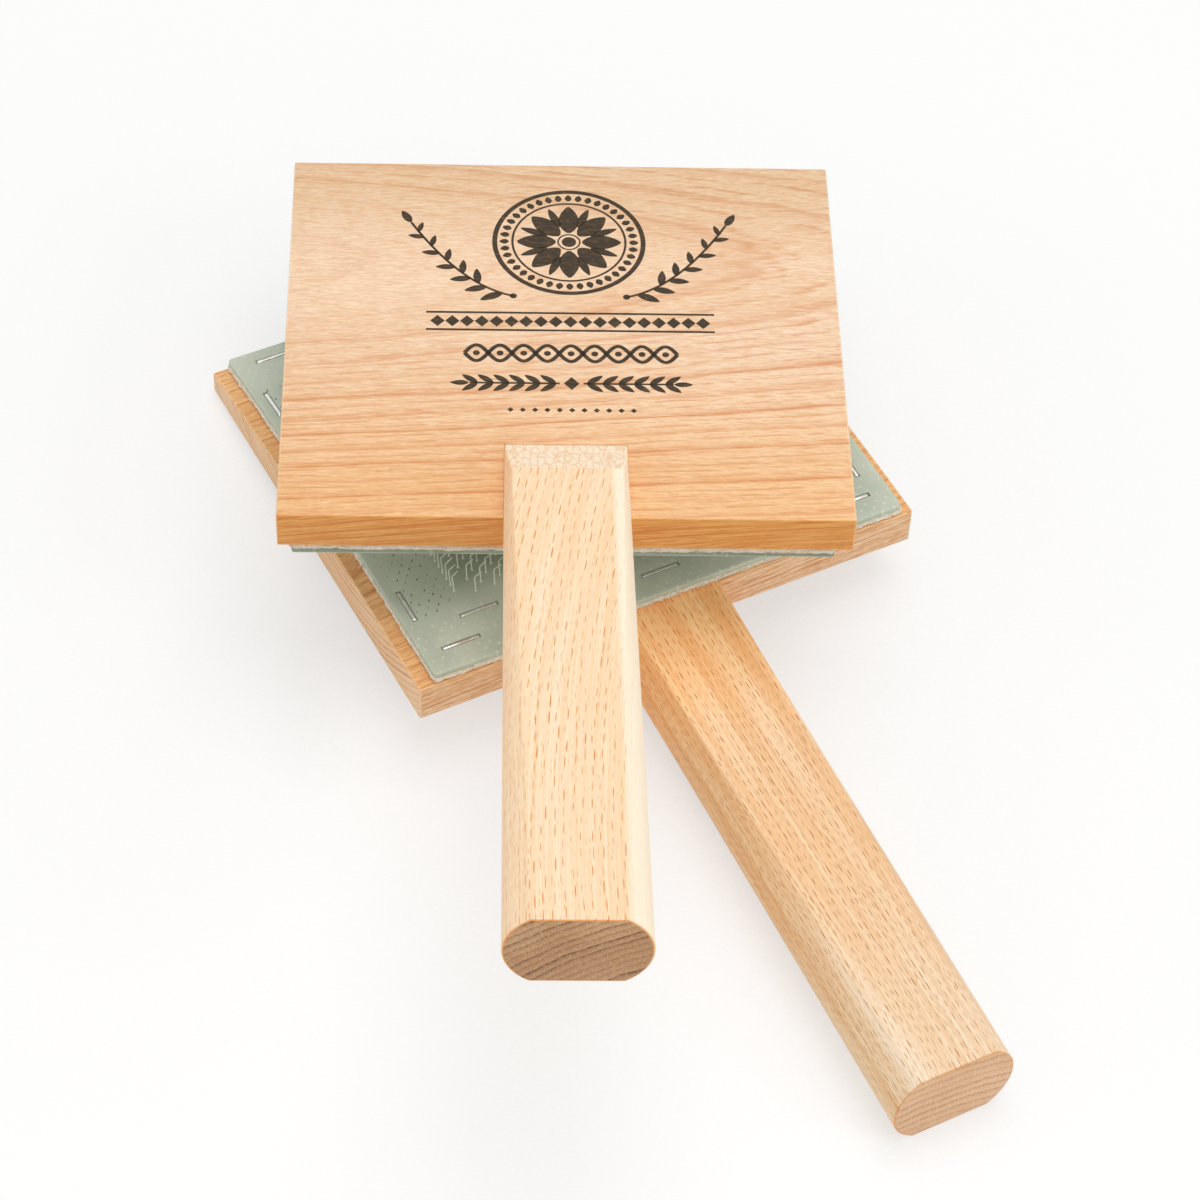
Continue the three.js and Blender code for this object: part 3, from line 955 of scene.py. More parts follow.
@dataclass(frozen=True)
class Rubber:
    """Matt grey-green rubber with the marks that setting the wires left.

    Attributes:
        base: Its main colour.
        deep: Its darker clouds.
        pale: Its dust, its raised dots and the collars at the wires.
        mark: Its dark slits, painted shade where puncture holes are.
        pitch: Spacing of the marks, across and along.
        stray: How far a mark strays from its cell's middle, as a share of the cell.
        dot_radius: A dot's radius.
        rim: The tone of the sheet's cut walls; the upper card's darker one is painted shade.
        field: Painted shade over the field between the teeth, where the teeth shade it.
        slit_half, slit_turn: A slit's half breadth and half length, and its turn off the board's length.
        slits_from, slits_to: How far from the middle line the slits come in, and how far they end.
        near_dots, far_dots: Where along the board the dots end near the handle and come back near the toe.
        field_sides, field_near: Where the painted shade among the teeth starts, from either side and the
            handle.
        walls: The heights over the board's face between which a wall takes the rim's tone.
        strength: How much the marks show.
    """

    base: Colour = tone(202, 209, 192)
    deep: Colour = tone(186, 195, 178)
    pale: Colour = tone(228, 232, 216)
    mark: Colour = tone(84, 92, 76)
    pitch: Pair = (3.7, 2.3)
    stray: Triple = (0.22, 0.3, 0.0)
    dot_radius: float = 0.72
    rim: Colour = (0.9, 0.94, 0.9, 1.0)
    field: Colour = (0.72, 0.76, 0.72, 1.0)
    slit_half: Pair = (0.26, 0.68)
    slit_turn: float = math.radians(27)
    slits_from: Pair = (59.0, 62.0)
    slits_to: Pair = (73.0, 74.5)
    near_dots: Pair = (19.0, 22.0)
    far_dots: Pair = (134.0, 131.0)
    field_sides: Pair = (61.0, 54.0)
    field_near: Pair = (22.0, 34.0)
    walls: Pair = (3.45, 3.2)
    strength: float = 0.85

    def material(self, name: str, card: CardFrame) -> Material:
        """Builds the material.

        Staggered rows of marks: the row is floor(y / pitch), odd rows move half a pitch across, and each cell
        holds one point. Near the handle and the toe it is a pale raised dot, and along the two sides a dark
        slit, painted shade for a puncture hole. The cut walls of the sheet are darker, on the upper card as
        painted shade, and the field between the teeth is darkened with painted shade.

        Args:
            name: The material's name.
            card: The card that the piece belongs to.

        Returns:
            The material.
        """
        shader = Shader(name)
        place = shader.place(card)
        axis = shader.axes(place)
        across = shader.math("ABSOLUTE", axis[0])
        row = shader.math("DIVIDE", axis[1], self.pitch[1])
        odd = shader.product(shader.math("FLOORED_MODULO", shader.math("FLOOR", row), 2.0), 0.5)
        column = shader.math("ADD", shader.math("DIVIDE", axis[0], self.pitch[0]), odd)
        grid = shader.node("CombineXYZ", X=column, Y=row, Z=0.5).outputs[0]
        away, chance = shader.scattered(grid, (*self.pitch, 0.0), self.stray)
        chances = shader.axes(chance)
        dot = shader.step(shader.vector("LENGTH", away), self.dot_radius, 0.0)
        dot = shader.product(dot, shader.step(chances[2], 0.0, 1.0, 0.2, 1.0))
        turned = shader.node("Mapping", Vector=away, Rotation=(0.0, 0.0, self.slit_turn)).outputs[0]
        slim = shader.vector("LENGTH", shader.scaled(turned, (*(1 / half for half in self.slit_half), 0.0)))
        slit = shader.product(shader.step(slim, 1.0, 0.5), shader.step(chances[2], 0.0, 0.55))
        side = shader.step(across, *self.slits_from)
        inner = shader.product(shader.step(axis[1], *self.near_dots), shader.step(axis[1], *self.far_dots))
        within = shader.math("SUBTRACT", 1.0, shader.step(across, *self.slits_to))
        # The dark slits are painted shade standing for the puncture holes in the rubber.
        hole_shade = shader.product(side, inner, slit, within)
        light = shader.product(dot, shader.math("SUBTRACT", 1.0, inner))
        cloud = shader.noise(place, (0.05,) * 3, 3.0)
        dust = shader.noise(place, (2.5,) * 3)
        colour = shader.mix(shader.step(cloud, 0.35, 0.7), self.base, self.deep)
        colour = shader.mix(shader.product(shader.step(dust, 0.55, 0.75), 0.25), colour, self.pale)
        colour = shader.mix(shader.product(light, self.strength), colour, self.pale)
        colour = shader.mix(shader.product(hole_shade, self.strength), colour, self.mark)
        # Painted shade: the field between the teeth is darkened as if the teeth shaded it.
        teeth_shade_share = shader.product(shader.step(across, *self.field_sides), shader.step(axis[1], *self.field_near))
        colour = shader.mix(teeth_shade_share, colour, self.field, "MULTIPLY")
        # The cut walls take the rim's tone, which on the upper card is painted shade.
        wall = shader.step(shader.over_face(axis), *self.walls)
        colour = shader.mix(wall, colour, self.rim, "MULTIPLY")
        collar = shader.node("Attribute", {"attribute_name": "pale"}).outputs["Fac"]
        colour = shader.mix(collar, colour, self.pale)
        relief = shader.math("ADD", shader.product(dust, 0.2), shader.math("SUBTRACT", light, hole_shade))
        roughness = shader.step(dust, 0.3, 0.7, 0.62, 0.5)
        return shader.finish(colour, roughness, relief, 0.12, Specular_IOR_Level=0.4)


@dataclass(frozen=True)
class Cotton:
    """Cream woven cotton in several plies, seen at its frayed edge."""

    pale: Colour = tone(255, 250, 236)
    shade: Colour = tone(230, 208, 176)
    plies: float = 4.0

    def material(self, name: str, card: CardFrame) -> Material:
        """Builds the material: fibre noise under half a millimetre, with a darker line between the plies,
        painted shade in the gaps between them.

        Args:
            name: The material's name.
            card: The card that the piece belongs to.

        Returns:
            The material.
        """
        shader = Shader(name)
        place = shader.place(card)
        lint = shader.noise(place, (1.5,) * 3, 4.0, 0.7)
        yarn = shader.noise(place, (0.7, 0.7, 3.0))
        height = shader.node("Attribute", {"attribute_name": "ply"}).outputs["Fac"]
        ply = shader.math("ABSOLUTE", shader.math("SINE", shader.product(height, self.plies * math.pi)))
        linty = shader.step(lint, 0.62, 0.38, 0.0, 0.6)
        # The darker line between the plies is painted shade in the gaps between them.
        share = shader.math("MULTIPLY_ADD", shader.step(ply, 0.5, 0.0), 0.5, linty)
        colour = shader.mix(share, self.pale, self.shade)
        colour = shader.mix(shader.product(shader.step(yarn, 0.5, 0.75), 0.4), colour, self.shade)
        relief = shader.math("MULTIPLY_ADD", ply, 0.5, lint)
        return shader.finish(colour, 0.92, relief, 0.3, Specular_IOR_Level=0.1, Sheen_Weight=0.3)


@dataclass(frozen=True)
class Steel:
    """Bright drawn steel.

    Attributes:
        base: Its colour.
        tint: The colour that it takes in places.
        roughness: Its least and greatest roughness.
        metallic: How much it reflects as metal does.
    """

    base: Colour
    tint: Colour
    roughness: Pair
    metallic: float

    def material(self, name: str, card: CardFrame) -> Material:
        """Builds the material: a tint and a roughness that change slowly, and fine draw marks.

        Args:
            name: The material's name.
            card: The card that the piece belongs to.

        Returns:
            The material.
        """
        shader = Shader(name)
        place = shader.place(card)
        slow = shader.noise(place, (0.15,) * 3)
        marks = shader.noise(place, (3.0,) * 3, 3.0, 0.6)
        colour = shader.mix(shader.step(slow, 0.5, 0.72), self.base, self.tint)
        roughness = shader.step(marks, 0.3, 0.7, *self.roughness)
        return shader.finish(colour, roughness, marks, 0.01, Metallic=self.metallic)


class Metal(Enum):
    """The metals of the pair."""

    WIRE = Steel(tone(246, 246, 230), tone(236, 232, 208), (0.3, 0.45), 0.45)
    STAPLE = Steel(tone(248, 248, 245), tone(224, 214, 204), (0.14, 0.26), 0.65)


@dataclass(frozen=True)
class Scorch:
    """Wood burnt dark by a hot stamp, lighter where the stamp pressed less."""

    char: Colour = tone(66, 57, 46)
    brown: Colour = tone(116, 88, 60)

    def material(self, name: str, card: CardFrame) -> Material:
        """Builds the material: mottles and fibres that let the brown show.

        Args:
            name: The material's name.
            card: The card that the piece belongs to.

        Returns:
            The material.
        """
        shader = Shader(name)
        place = shader.place(card)
        mottle = shader.noise(place, (0.35, 0.8, 0.8), 3.0, 0.6)
        fibre = shader.noise(place, (0.1, 4.0, 4.0))
        share = shader.product(shader.step(mottle, 0.45, 0.75), 0.6)
        share = shader.math("MULTIPLY_ADD", shader.step(fibre, 0.55, 0.75), 0.35, share, clamp=True)
        colour = shader.mix(share, self.char, self.brown)
        return shader.finish(colour, 0.75, fibre, 0.02, Specular_IOR_Level=0.2)


# ---------------- pieces


class Maker:
    """Turns surfaces into pieces of one card."""

    def __init__(self, card: str) -> None:
        """Finds the card's frame.

        Args:
            card: lower or upper.
        """
        self.card = card
        self.body = f"{card}_card"
        self.frame = CardFrame.of(card)

    def mesh(self, name: str, surface: Surface, materials: Sequence[Material]) -> Piece:
        """Puts a surface into a new object at the origin.

        Args:
            name: The object's name after the card's.
            surface: The surface in the card's millimetres.
            materials: The materials of its slots.

        Returns:
            The object.
        """
        name = f"{self.card}_{name}"
        data = bpy.data.meshes.new(name)
        counts = np.concatenate([np.full(len(array), array.shape[1]) for array in surface.polygons])
        corners = np.concatenate([array.reshape(-1) for array in surface.polygons])
        data.vertices.add(len(surface.points))
        data.vertices.foreach_set("co", self.frame.world(surface.points).astype(np.float32).ravel())
        data.loops.add(len(corners))
        data.loops.foreach_set("vertex_index", corners.astype(np.int32))
        data.polygons.add(len(counts))
        data.polygons.foreach_set("loop_start", (np.cumsum(counts) - counts).astype(np.int32))
        finishes = surface.finishes or [0] * len(surface.polygons)
        slots = [np.broadcast_to(finish, len(array)) for finish, array in zip(finishes, surface.polygons)]
        data.polygons.foreach_set("material_index", np.concatenate(slots).astype(np.int32))
        data.update(calc_edges=True)
        for mark, values in surface.marks.items():
            data.attributes.new(mark, "FLOAT", "POINT").data.foreach_set("value", values.astype(np.float32))
        for material in materials:
            data.materials.append(material)
        made = bpy.data.objects.new(name, data)
        bpy.context.scene.collection.objects.link(made)
        return made

    def dressed(self, made: Piece, replaced: Sequence[str] = (), smooth: float = 40.0) -> None:
        """Shades a made object, puts it under its body, and hides the imported parts that it stands for.

        Args:
            made: The object.
            replaced: The nodes that it stands for, without the card's name.
            smooth: The angle in degrees under which neighbouring faces shade as one.
        """
        made.data.shade_smooth()
        made.data.set_sharp_from_angle(angle=math.radians(smooth))
        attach(made, self.body)
        if replaced:
            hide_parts(*(f"{self.card}_{node}" for node in replaced))
        LOG.info("%s: %d faces", made.name, len(made.data.polygons))

    @staticmethod
    def settled(made: Piece) -> None:
        """Works an object's modifiers into its mesh.

        Args:
            made: The object.
        """
        graph = bpy.context.evaluated_depsgraph_get()
        data = bpy.data.meshes.new_from_object(
            made.evaluated_get(graph), preserve_all_data_layers=True, depsgraph=graph
        )
        old = made.data
        made.modifiers.clear()
        made.data = data
        bpy.data.meshes.remove(old)
        data.name = made.name


# The angle in degrees under which the faces of a board or a handle shade as one.
FLAT_SMOOTH = 18.0


class BoardSlot(IntEnum):
    """The material slots of a board, each a cut through its wood."""

    FACE, ARRIS, END, EDGE = range(4)


@dataclass(frozen=True)
class Board:
    """A card's back board: flat behind, with a crowned teeth face."""

    width: float = 165.0
    depth: float = 150.0
    thickness: float = 13.7
    crown_radius: float = 860.0
    crown_y: float = 45.0
    arris: float = 0.45
    stations: int = 31
    columns: int = 13
    layers: int = 4

    def face(self, y: Array | float) -> Array | float:
        """Height of the teeth face at y: thickness - R + sqrt(R^2 - (y - crown_y)^2)."""
        radius = self.crown_radius
        return self.thickness - radius + np.sqrt(radius**2 - (y - self.crown_y) ** 2)

    def lean(self, y: Array | float) -> Array | float:
        """Angle by which the face leans towards the toe at y."""
        return np.arcsin((y - self.crown_y) / self.crown_radius)

    def on_face(self, local: Array, x: Array, y: Array, height: float, turn: float = 0.0) -> Array:
        """Stands local points on the teeth face.

        Args:
            local: Points, as copies x points x 3, or points x 3 for a copy alone.
            x: Where each copy stands across the board.
            y: Where each copy stands along it.
            height: Height above the face, square to it.
            turn: Turn about the face's normal, in radians.

        Returns:
            Points in the card's millimetres: turned, tipped by the face's lean, then moved to the face.
        """
        x, y = np.asarray(x, float)[..., None], np.asarray(y, float)[..., None]
        across = local[..., 0] * math.cos(turn) - local[..., 1] * math.sin(turn)
        along = local[..., 0] * math.sin(turn) + local[..., 1] * math.cos(turn)
        up = local[..., 2] + height
        lean = self.lean(y)
        return np.stack(
            [
                x + across,
                y + along * np.cos(lean) + up * np.sin(lean),
                self.face(y) - along * np.sin(lean) + up * np.cos(lean),
            ],
            axis=-1,
        )

    def surface(self) -> Surface:
        """Shapes the slab before its notch: an outline in x and z at each y, with the face on top.

        Returns:
            The closed slab, with its ends and edges in slots of their own.
        """
        y = np.linspace(0, self.depth, self.stations)[:, None]
        across = np.linspace(-self.width / 2, self.width / 2, self.columns)
        level = np.linspace(0, 1, self.layers)[1:-1]
        ends = np.full(len(level), self.width / 2)
        x = np.concatenate([across, ends, across[::-1], -ends])
        share = np.concatenate([0 * across, level, 0 * across + 1, level[::-1]])
        z = share * self.face(y)
        block = lofted(np.stack(np.broadcast_arrays(x, y, z), axis=-1))
        middle = block.points[block.polygons[0]].mean(axis=1)
        at_end = np.abs(middle[:, 0]) > self.width / 2 - 0.01
        sides = np.where(at_end, BoardSlot.END, BoardSlot.FACE)
        block.finishes = [sides, BoardSlot.EDGE, BoardSlot.EDGE]
        return block

    def build(self, maker: Maker, handle: "Handle", timber: Timber) -> None:
        """Makes the board with the handle's notch cut.

        Args:
            maker: The card's maker.
            handle: The handle that is let in.
            timber: The board's wood.
        """
        name = f"{maker.card}_board"
        wood = timber.value
        cuts = {"wood": wood, "arris": worn_wood(wood), "end_grain": end_wood(wood), "edge": edge_wood(wood)}
        woods = [cut.material(f"{name}_{word}", maker.frame, Fibres.ACROSS) for word, cut in cuts.items()]
        made = maker.mesh("board", self.surface(), woods)
        made.data.shade_smooth()
        softened(made, self.arris, 45.0, BoardSlot.ARRIS)
        cutter = maker.mesh("board_cutter", handle.cutter(), woods[:1])
        notch = made.modifiers.new("notch", "BOOLEAN")
        notch.object, notch.operation, notch.solver = cutter, "DIFFERENCE", "EXACT"
        maker.settled(made)
        bpy.data.objects.remove(cutter)
        maker.dressed(made, ["back_board"], FLAT_SMOOTH)


def worn_wood(wood: Wood) -> Wood:
    """Returns the paler wood of a worn arris."""
    return replace(wood, pale=wood.glint, warm=wood.pale, late_strength=wood.late_strength * 0.4)


def sawn_wood(wood: Wood) -> Wood:
    """Returns the pale, ragged wood of a cut across the fibres."""
    return replace(worn_wood(wood), warm=wood.glint, streak_strength=0.15, rays=(), scales=0.6, zones=())


def end_wood(wood: Wood) -> Wood:
    """Returns the wood of a smooth cut square to the fibres, where only the growth rings are plain."""
    return replace(
        wood, streak_strength=0.3, glint_strength=0.3, late_strength=1.0, ring_width=2.4, line_width=0.5,
        fine_lines=0.2, core=Wood.core, grain=(1.6, 2.2), rays=(), zones=(),
    )


def edge_wood(wood: Wood) -> Wood:
    """Returns the wood of the near and far edges, with closer and plainer lines."""
    return replace(wood, ring_width=1.6, late_strength=1.0, streak_strength=1.0, grain=(0.05, 1.6))


def softened(made: Piece, width: float, angle: float, finish: int) -> None:
    """Rounds an object's arrises.

    Args:
        made: The object.
        width: Width of the rounding in millimetres.
        angle: The least angle, in degrees, of an edge that is rounded.
        finish: The material slot of the rounding.
    """
    bevel = made.modifiers.new("arrises", "BEVEL")
    bevel.width, bevel.segments = width * MM, 3
    bevel.limit_method, bevel.angle_limit = "ANGLE", math.radians(angle)
    bevel.material = finish


class HandleSlot(IntEnum):
    """The material slots of a handle; the ramp is the bevel under its tongue."""

    SIDE, ARRIS, END, RAMP = range(4)


@dataclass(frozen=True)
class Handle:
    """A bulged bar that widens towards its end, let into the board by a bevelled tongue."""

    board: Board
    reach: float = 168.7
    inset: float = 29.0
    tilt: float = math.radians(7.5)
    thickness: float = 25.4
    end_width: float = 38.5
    end_flat: float = 24.5
    near_width: float = 36.1
    near_flat: float = 31.5
    tip_bevel: float = math.radians(30)
    arris: float = 0.5
    side_steps: int = 17
    side_crowding: float = 1.64
    flat_steps: int = 11
    bar_steps: int = 34
    tongue_steps: int = 12
    cutter_gap: float = 0.06
    cutter_reach: float = 6.0
    cutter_steps: int = 8

    def side(self, width: float, flat: float, s: Array) -> Array:
        """Half the width at a depth s: W/2 - R + sqrt(R^2 - h^2), with h the height off the middle.

        The radius R = (t^2 + b^2) / 2b makes the side bulge by b over half the thickness t.

        Args:
            width: The section's full width W.
            flat: The width of its flats, which is 2b less.
            s: Depths under the upper flat.

        Returns:
            Half widths.
        """
        half, bulge = self.thickness / 2, (width - flat) / 2
        radius = (half**2 + bulge**2) / (2 * bulge)
        height = np.clip(s + half, -half, half)
        return width / 2 - radius + np.sqrt(radius**2 - height**2)

    def rings(self, y: Array, low: Array, high: Array, grow: float = 0.0) -> Array:
        """Sections of the bar in planes of constant y.

        A side goes from the section at the board to the section at the end by the share of the way out, and
        the depth s under the bar's upper flat lies at z = flush + y tan(tilt) + s / cos(tilt). Down a side,
        the corners stand at even steps of an angle whose sine is the depth from the middle times
        side_crowding / end_flat, so that they crowd towards the flats.

        Args:
            y: The stations.
            low: The lower level at each station, as s.
            high: The upper level.
            grow: How far the section is grown.

        Returns:
            Points, as stations x corners x 3.
        """
        half = self.thickness / 2
        y, low, high = (np.broadcast_to(a, y.shape)[:, None] for a in (y, low, high))
        start, end = (
            np.arcsin(np.clip((s + half) / self.end_flat * self.side_crowding, -1, 1)) for s in (low, high)
        )
        angle = start + (end - start) * np.linspace(0, 1, self.side_steps)
        side_s = low + (high - low) * (np.sin(angle) - np.sin(start)) / (np.sin(end) - np.sin(start))
        out = (-y - side_s * math.sin(self.tilt)) / math.cos(self.tilt) / self.reach
        near, far = (
            self.side(width, flat, side_s)
            for width, flat in ((self.near_width, self.near_flat), (self.end_width, self.end_flat))
        )
        side_x = near + (far - near) * out + grow
        flat = np.linspace(-1, 1, self.flat_steps)[1:-1]
        x = np.concatenate([side_x[:, :1] * flat, side_x, -side_x[:, -1:] * flat, -side_x[:, ::-1]], axis=1)
        s = np.concatenate(
            [side_s[:, :1] + 0 * flat, side_s, side_s[:, -1:] + 0 * flat, side_s[:, ::-1]], axis=1
        )
        z = self.board.face(0.0) + y * math.tan(self.tilt) + s / math.cos(self.tilt)
        return np.stack([x, np.broadcast_to(y, x.shape), z], axis=-1)

    def level(self, y: Array, z: Array) -> Array:
        """Returns the depth s of the height z at y."""
        return (z - self.board.face(0.0) - y * math.tan(self.tilt)) * math.cos(self.tilt)

    def ramp_start(self) -> float:
        """Finds where the tongue's bevel meets the bar's lower flat.

        Returns:
            The y of that line.
        """
        bevel, tilt = math.tan(self.tip_bevel), math.tan(self.tilt)
        drop = self.inset * bevel + self.board.face(0.0) - self.thickness / math.cos(self.tilt)
        return float(drop / (bevel - tilt))

    def cutter(self) -> Surface:
        """Shapes the notch's cutter: the bar, grown a little and longer than the notch.

        Returns:
            The closed cutter.
        """
        y = np.linspace(-self.cutter_reach, self.inset + self.cutter_gap, self.cutter_steps)
        low = np.full(self.cutter_steps, -self.thickness - self.cutter_gap)
        high = np.full(self.cutter_steps, self.cutter_gap)
        return lofted(self.rings(y, low, high, self.cutter_gap))

    def surface(self) -> Surface:
        """Shapes the bar, its tongue cut to the crowned face above and to the bevel below.

        Returns:
            The closed bar, with its sawn end and its ramp in slots of their own.
        """
        start = self.ramp_start()
        y = np.concatenate([
            np.linspace(-self.reach, -4.0, self.bar_steps),
            np.array([0.0, 0.6 * start]),
            np.linspace(start, self.inset, self.tongue_steps),
        ])
        ramp = -(self.inset - y) * math.tan(self.tip_bevel)
        low = np.maximum(-self.thickness, self.level(y, ramp))
        high = np.where(y > 0, self.level(y, self.board.face(y)), 0.0)
        bar = lofted(self.rings(y, low, np.minimum(high, 0.0)))
        middle = bar.points[bar.polygons[0]].mean(axis=1)
        under = -(self.inset - middle[:, 1]) * math.tan(self.tip_bevel)
        on_ramp = (middle[:, 1] > start) & (np.abs(middle[:, 2] - under) < 0.05)
        end = HandleSlot.END if bar.points[bar.polygons[1][0, 0], 1] < 0 else HandleSlot.SIDE
        bar.finishes = [np.where(on_ramp, HandleSlot.RAMP, HandleSlot.SIDE), end, HandleSlot.SIDE]
        return bar

    def build(self, maker: Maker, timber: Timber, end: Timber) -> None:
        """Makes the handle.

        Args:
            maker: The card's maker.
            timber: The handle's wood.
            end: The wood of its sawn end.
        """
        name = f"{maker.card}_handle"
        cuts = {"wood": timber.value, "end_grain": end.value, "ramp": sawn_wood(timber.value)}
        bare, sawn, ramp = (
            wood.material(f"{name}_{word}", maker.frame, Fibres.ALONG) for word, wood in cuts.items()
        )
        made = maker.mesh("bar", self.surface(), [bare, bare, sawn, ramp])
        made.data.shade_smooth()
        softened(made, self.arris, 25.0, HandleSlot.ARRIS)
        maker.settled(made)
        maker.dressed(made, ["handle"], FLAT_SMOOTH)


class Edge(Enum):
    """The edge of the cloth that a run of staples follows; the inner run stands behind the near one."""

    NEAR = "near"
    INNER = "inner"
    FAR = "far"
    LEFT = "left"
    RIGHT = "right"


@dataclass(frozen=True)
class StapleRun:
    """A run of staples along one edge of the cloth.

    Attributes:
        edge: The edge that it follows.
        count: How many staples.
        inset: How far it lies from that edge.
        start: From the cloth's corner to the middle of the first staple.
        end: The same at the last one.
    """

    edge: Edge
    count: int
    inset: float
    start: float
    end: float


@dataclass(frozen=True)
class Staple:
    """A tacking staple of flattened wire, its crown sunk into the rubber."""

    crown: float = 12.0
    leg: float = 8.0
    wire_width: float = 1.1
    wire_thickness: float = 0.55
    bend: float = 0.6
    flatness: float = 0.6
    corners: int = 10
    sunk: float = 0.12

    def path(self) -> Array:
        """Draws the wire's middle line: up a leg, round a bend, along the crown and down.

        Returns:
            Points in x and z.
        """
        half, top = (self.crown - self.wire_thickness) / 2, -self.wire_thickness / 2
        turn = np.linspace(math.pi, math.pi / 2, 6)
        bend_x = -half + self.bend + self.bend * np.cos(turn)
        bend_z = top - self.bend + self.bend * np.sin(turn)
        x = np.concatenate([[-half, -half], bend_x, [0.0], -bend_x[::-1], [half, half]])
        foot = [-self.leg, -self.leg / 2]
        z = np.concatenate([foot, bend_z, [top], bend_z[::-1], foot[::-1]])
        return np.stack([x, 0 * x, z], axis=-1)

    def rings(self) -> Array:
        """Carries a flattened round section along the path.

        The section is width/2 x sign(cos)|cos|^p across and thickness/2 x sign(sin)|sin|^p in depth, with p
        the flatness: 1 is an ellipse, and 0 a rectangle.

        Returns:
            Points, as stations x corners x 3.
        """
        path = self.path()
        along = np.gradient(path, axis=0)
        along /= np.linalg.norm(along, axis=1, keepdims=True)
        across = np.array([0.0, 1.0, 0.0])
        normal = np.cross(across, along)
        angle = (np.arange(self.corners) + 0.5) / self.corners * 2 * math.pi
        wide = self.wire_width / 2 * np.sign(np.cos(angle)) * np.abs(np.cos(angle)) ** self.flatness
        deep = self.wire_thickness / 2 * np.sign(np.sin(angle)) * np.abs(np.sin(angle)) ** self.flatness
        return path[:, None] + wide[:, None] * across + deep[:, None] * normal[:, None]


@dataclass(frozen=True)
class Clothing:
    """Card clothing: cotton backing, rubber face, bent wire teeth and the staples that hold it down.

    Heights are over the board's face, and spreads are those of chances from one wire to the next.
    """

    board: Board
    coat: Rubber = Rubber()
    staple: Staple = Staple()
    left: float = -77.5
    right: float = 78.7
    near: float = 0.8
    far: float = 149.4
    corner: float = 1.2
    cotton_low: float = 0.25
    cotton_high: float = 2.0
    rubber_low: float = 2.02
    rubber_high: float = 3.7
    mesh_step: float = 1.6
    slot_gap: float = 0.2
    slot_depth: float = 0.95
    dish_breadth: float = 1.6
    dish_depth: float = 0.22
    edge_breadth: float = 0.4
    edge_drop: float = 0.18
    wave: float = 0.04
    field_x: Pair = (-58.5, 59.7)
    field_y: Pair = (24.4, 129.1)
    tooth_pitch: Pair = (6.2, 2.6)
    twill_step: float = 2.9
    least_gap: float = 1.4
    tooth_height: float = 11.75
    knee_height: float = 5.0
    leg_lean: float = math.radians(14)
    point_lean: float = math.radians(31)
    leg_spread: float = 0.02
    point_spread: float = 0.035
    sway_spread: float = 0.02
    height_spread: float = 0.06
    root_depth: float = 0.4
    wire: float = 0.42
    tip_share: float = 0.7
    collar_root: Pair = (0.62, -0.06)
    collar_top: Pair = (0.3, 0.2)
    collar_sides: int = 6
    yarn_ends: int = 420
    runs: tuple[StapleRun, ...] = (
        StapleRun(Edge.NEAR, 5, 8.1, 12.4, 12.9),
        StapleRun(Edge.INNER, 2, 17.0, 22.5, 22.2),
        StapleRun(Edge.FAR, 5, 5.2, 13.6, 13.4),
        StapleRun(Edge.LEFT, 4, 3.9, 26.9, 26.2),
        StapleRun(Edge.RIGHT, 4, 6.3, 21.8, 31.9),
    )

    def sites(self) -> list[tuple[str, float, float, bool]]:
        """Lists the staples.

        Returns:
            For each its name, x, y, and whether the crown lies along y.
        """
        found = []
        for run in self.runs:
            for number, share in enumerate(np.linspace(0, 1, run.count), 1):
                across = (1 - share) * (self.left + run.start) + share * (self.right - run.end)
                along = (1 - share) * (self.near + run.start) + share * (self.far - run.end)
                x, y, upright = {
                    Edge.NEAR: (across, self.near + run.inset, False),
                    Edge.INNER: (across, self.near + run.inset, False),
                    Edge.FAR: (across, self.far - run.inset, False),
                    Edge.LEFT: (self.left + run.inset, along, True),
                    Edge.RIGHT: (self.right - run.inset, along, True),
                }[run.edge]
                found.append((f"{run.edge.value}_staple_{number}", float(x), float(y), upright))
        return found

    def slots(self) -> Array:
        """Works out the rubber's staple slots.

        Returns:
            Rows of low x, high x, low y and high y.
        """
        half = self.staple.crown / 2 + self.slot_gap
        wide = self.staple.wire_width / 2 + self.slot_gap
        rows = [(x, y, (wide, half) if upright else (half, wide)) for _, x, y, upright in self.sites()]
        return np.array([(x - a, x + a, y - b, y + b) for x, y, (a, b) in rows])

    @staticmethod
    def lines(low: float, high: float, step: float, slots: Array) -> Array:
        """Lays out grid lines with a pair at each wall of each slot and at the edge's rounding.

        Args:
            low: The first line.
            high: The last line.
            step: The spacing elsewhere.
            slots: Low and high walls, one row a slot.

        Returns:
            The sorted lines.
        """
        slope, rounding, least = 0.05, np.array([0.0, 0.12, 0.4]), 0.3
        walls = [slots[:, 0] - slope, slots[:, 0], slots[:, 1], slots[:, 1] + slope]
        fixed = np.unique(np.round(np.concatenate([*walls, low + rounding, high - rounding]), 4))
        regular = np.linspace(low, high, int((high - low) / step))
        clear = np.abs(regular[:, None] - fixed).min(axis=1) > least
        return np.sort(np.concatenate([fixed, regular[clear]]))

    def plan(self, x: Array, y: Array) -> Array:
        """Draws x in at the four corners, so that the grid's outline is rounded there.

        Within the corner's radius r of the near or far edge, at a distance d from it, the outline moves in
        by r - sqrt(r^2 - (r - d)^2), and the points of the outer four millimetres share that move.

        Args:
            x: Places across.
            y: Places along.

        Returns:
            The moved places across.
        """
        outer = 4.0
        away = np.minimum(y - self.near, self.far - y)
        short = np.clip(self.corner - away, 0, self.corner)
        move = self.corner - np.sqrt(self.corner**2 - short**2)
        from_left = np.clip(1 - (x - self.left) / outer, 0, 1)
        from_right = np.clip(1 - (self.right - x) / outer, 0, 1)
        return x + move * (from_left - from_right)

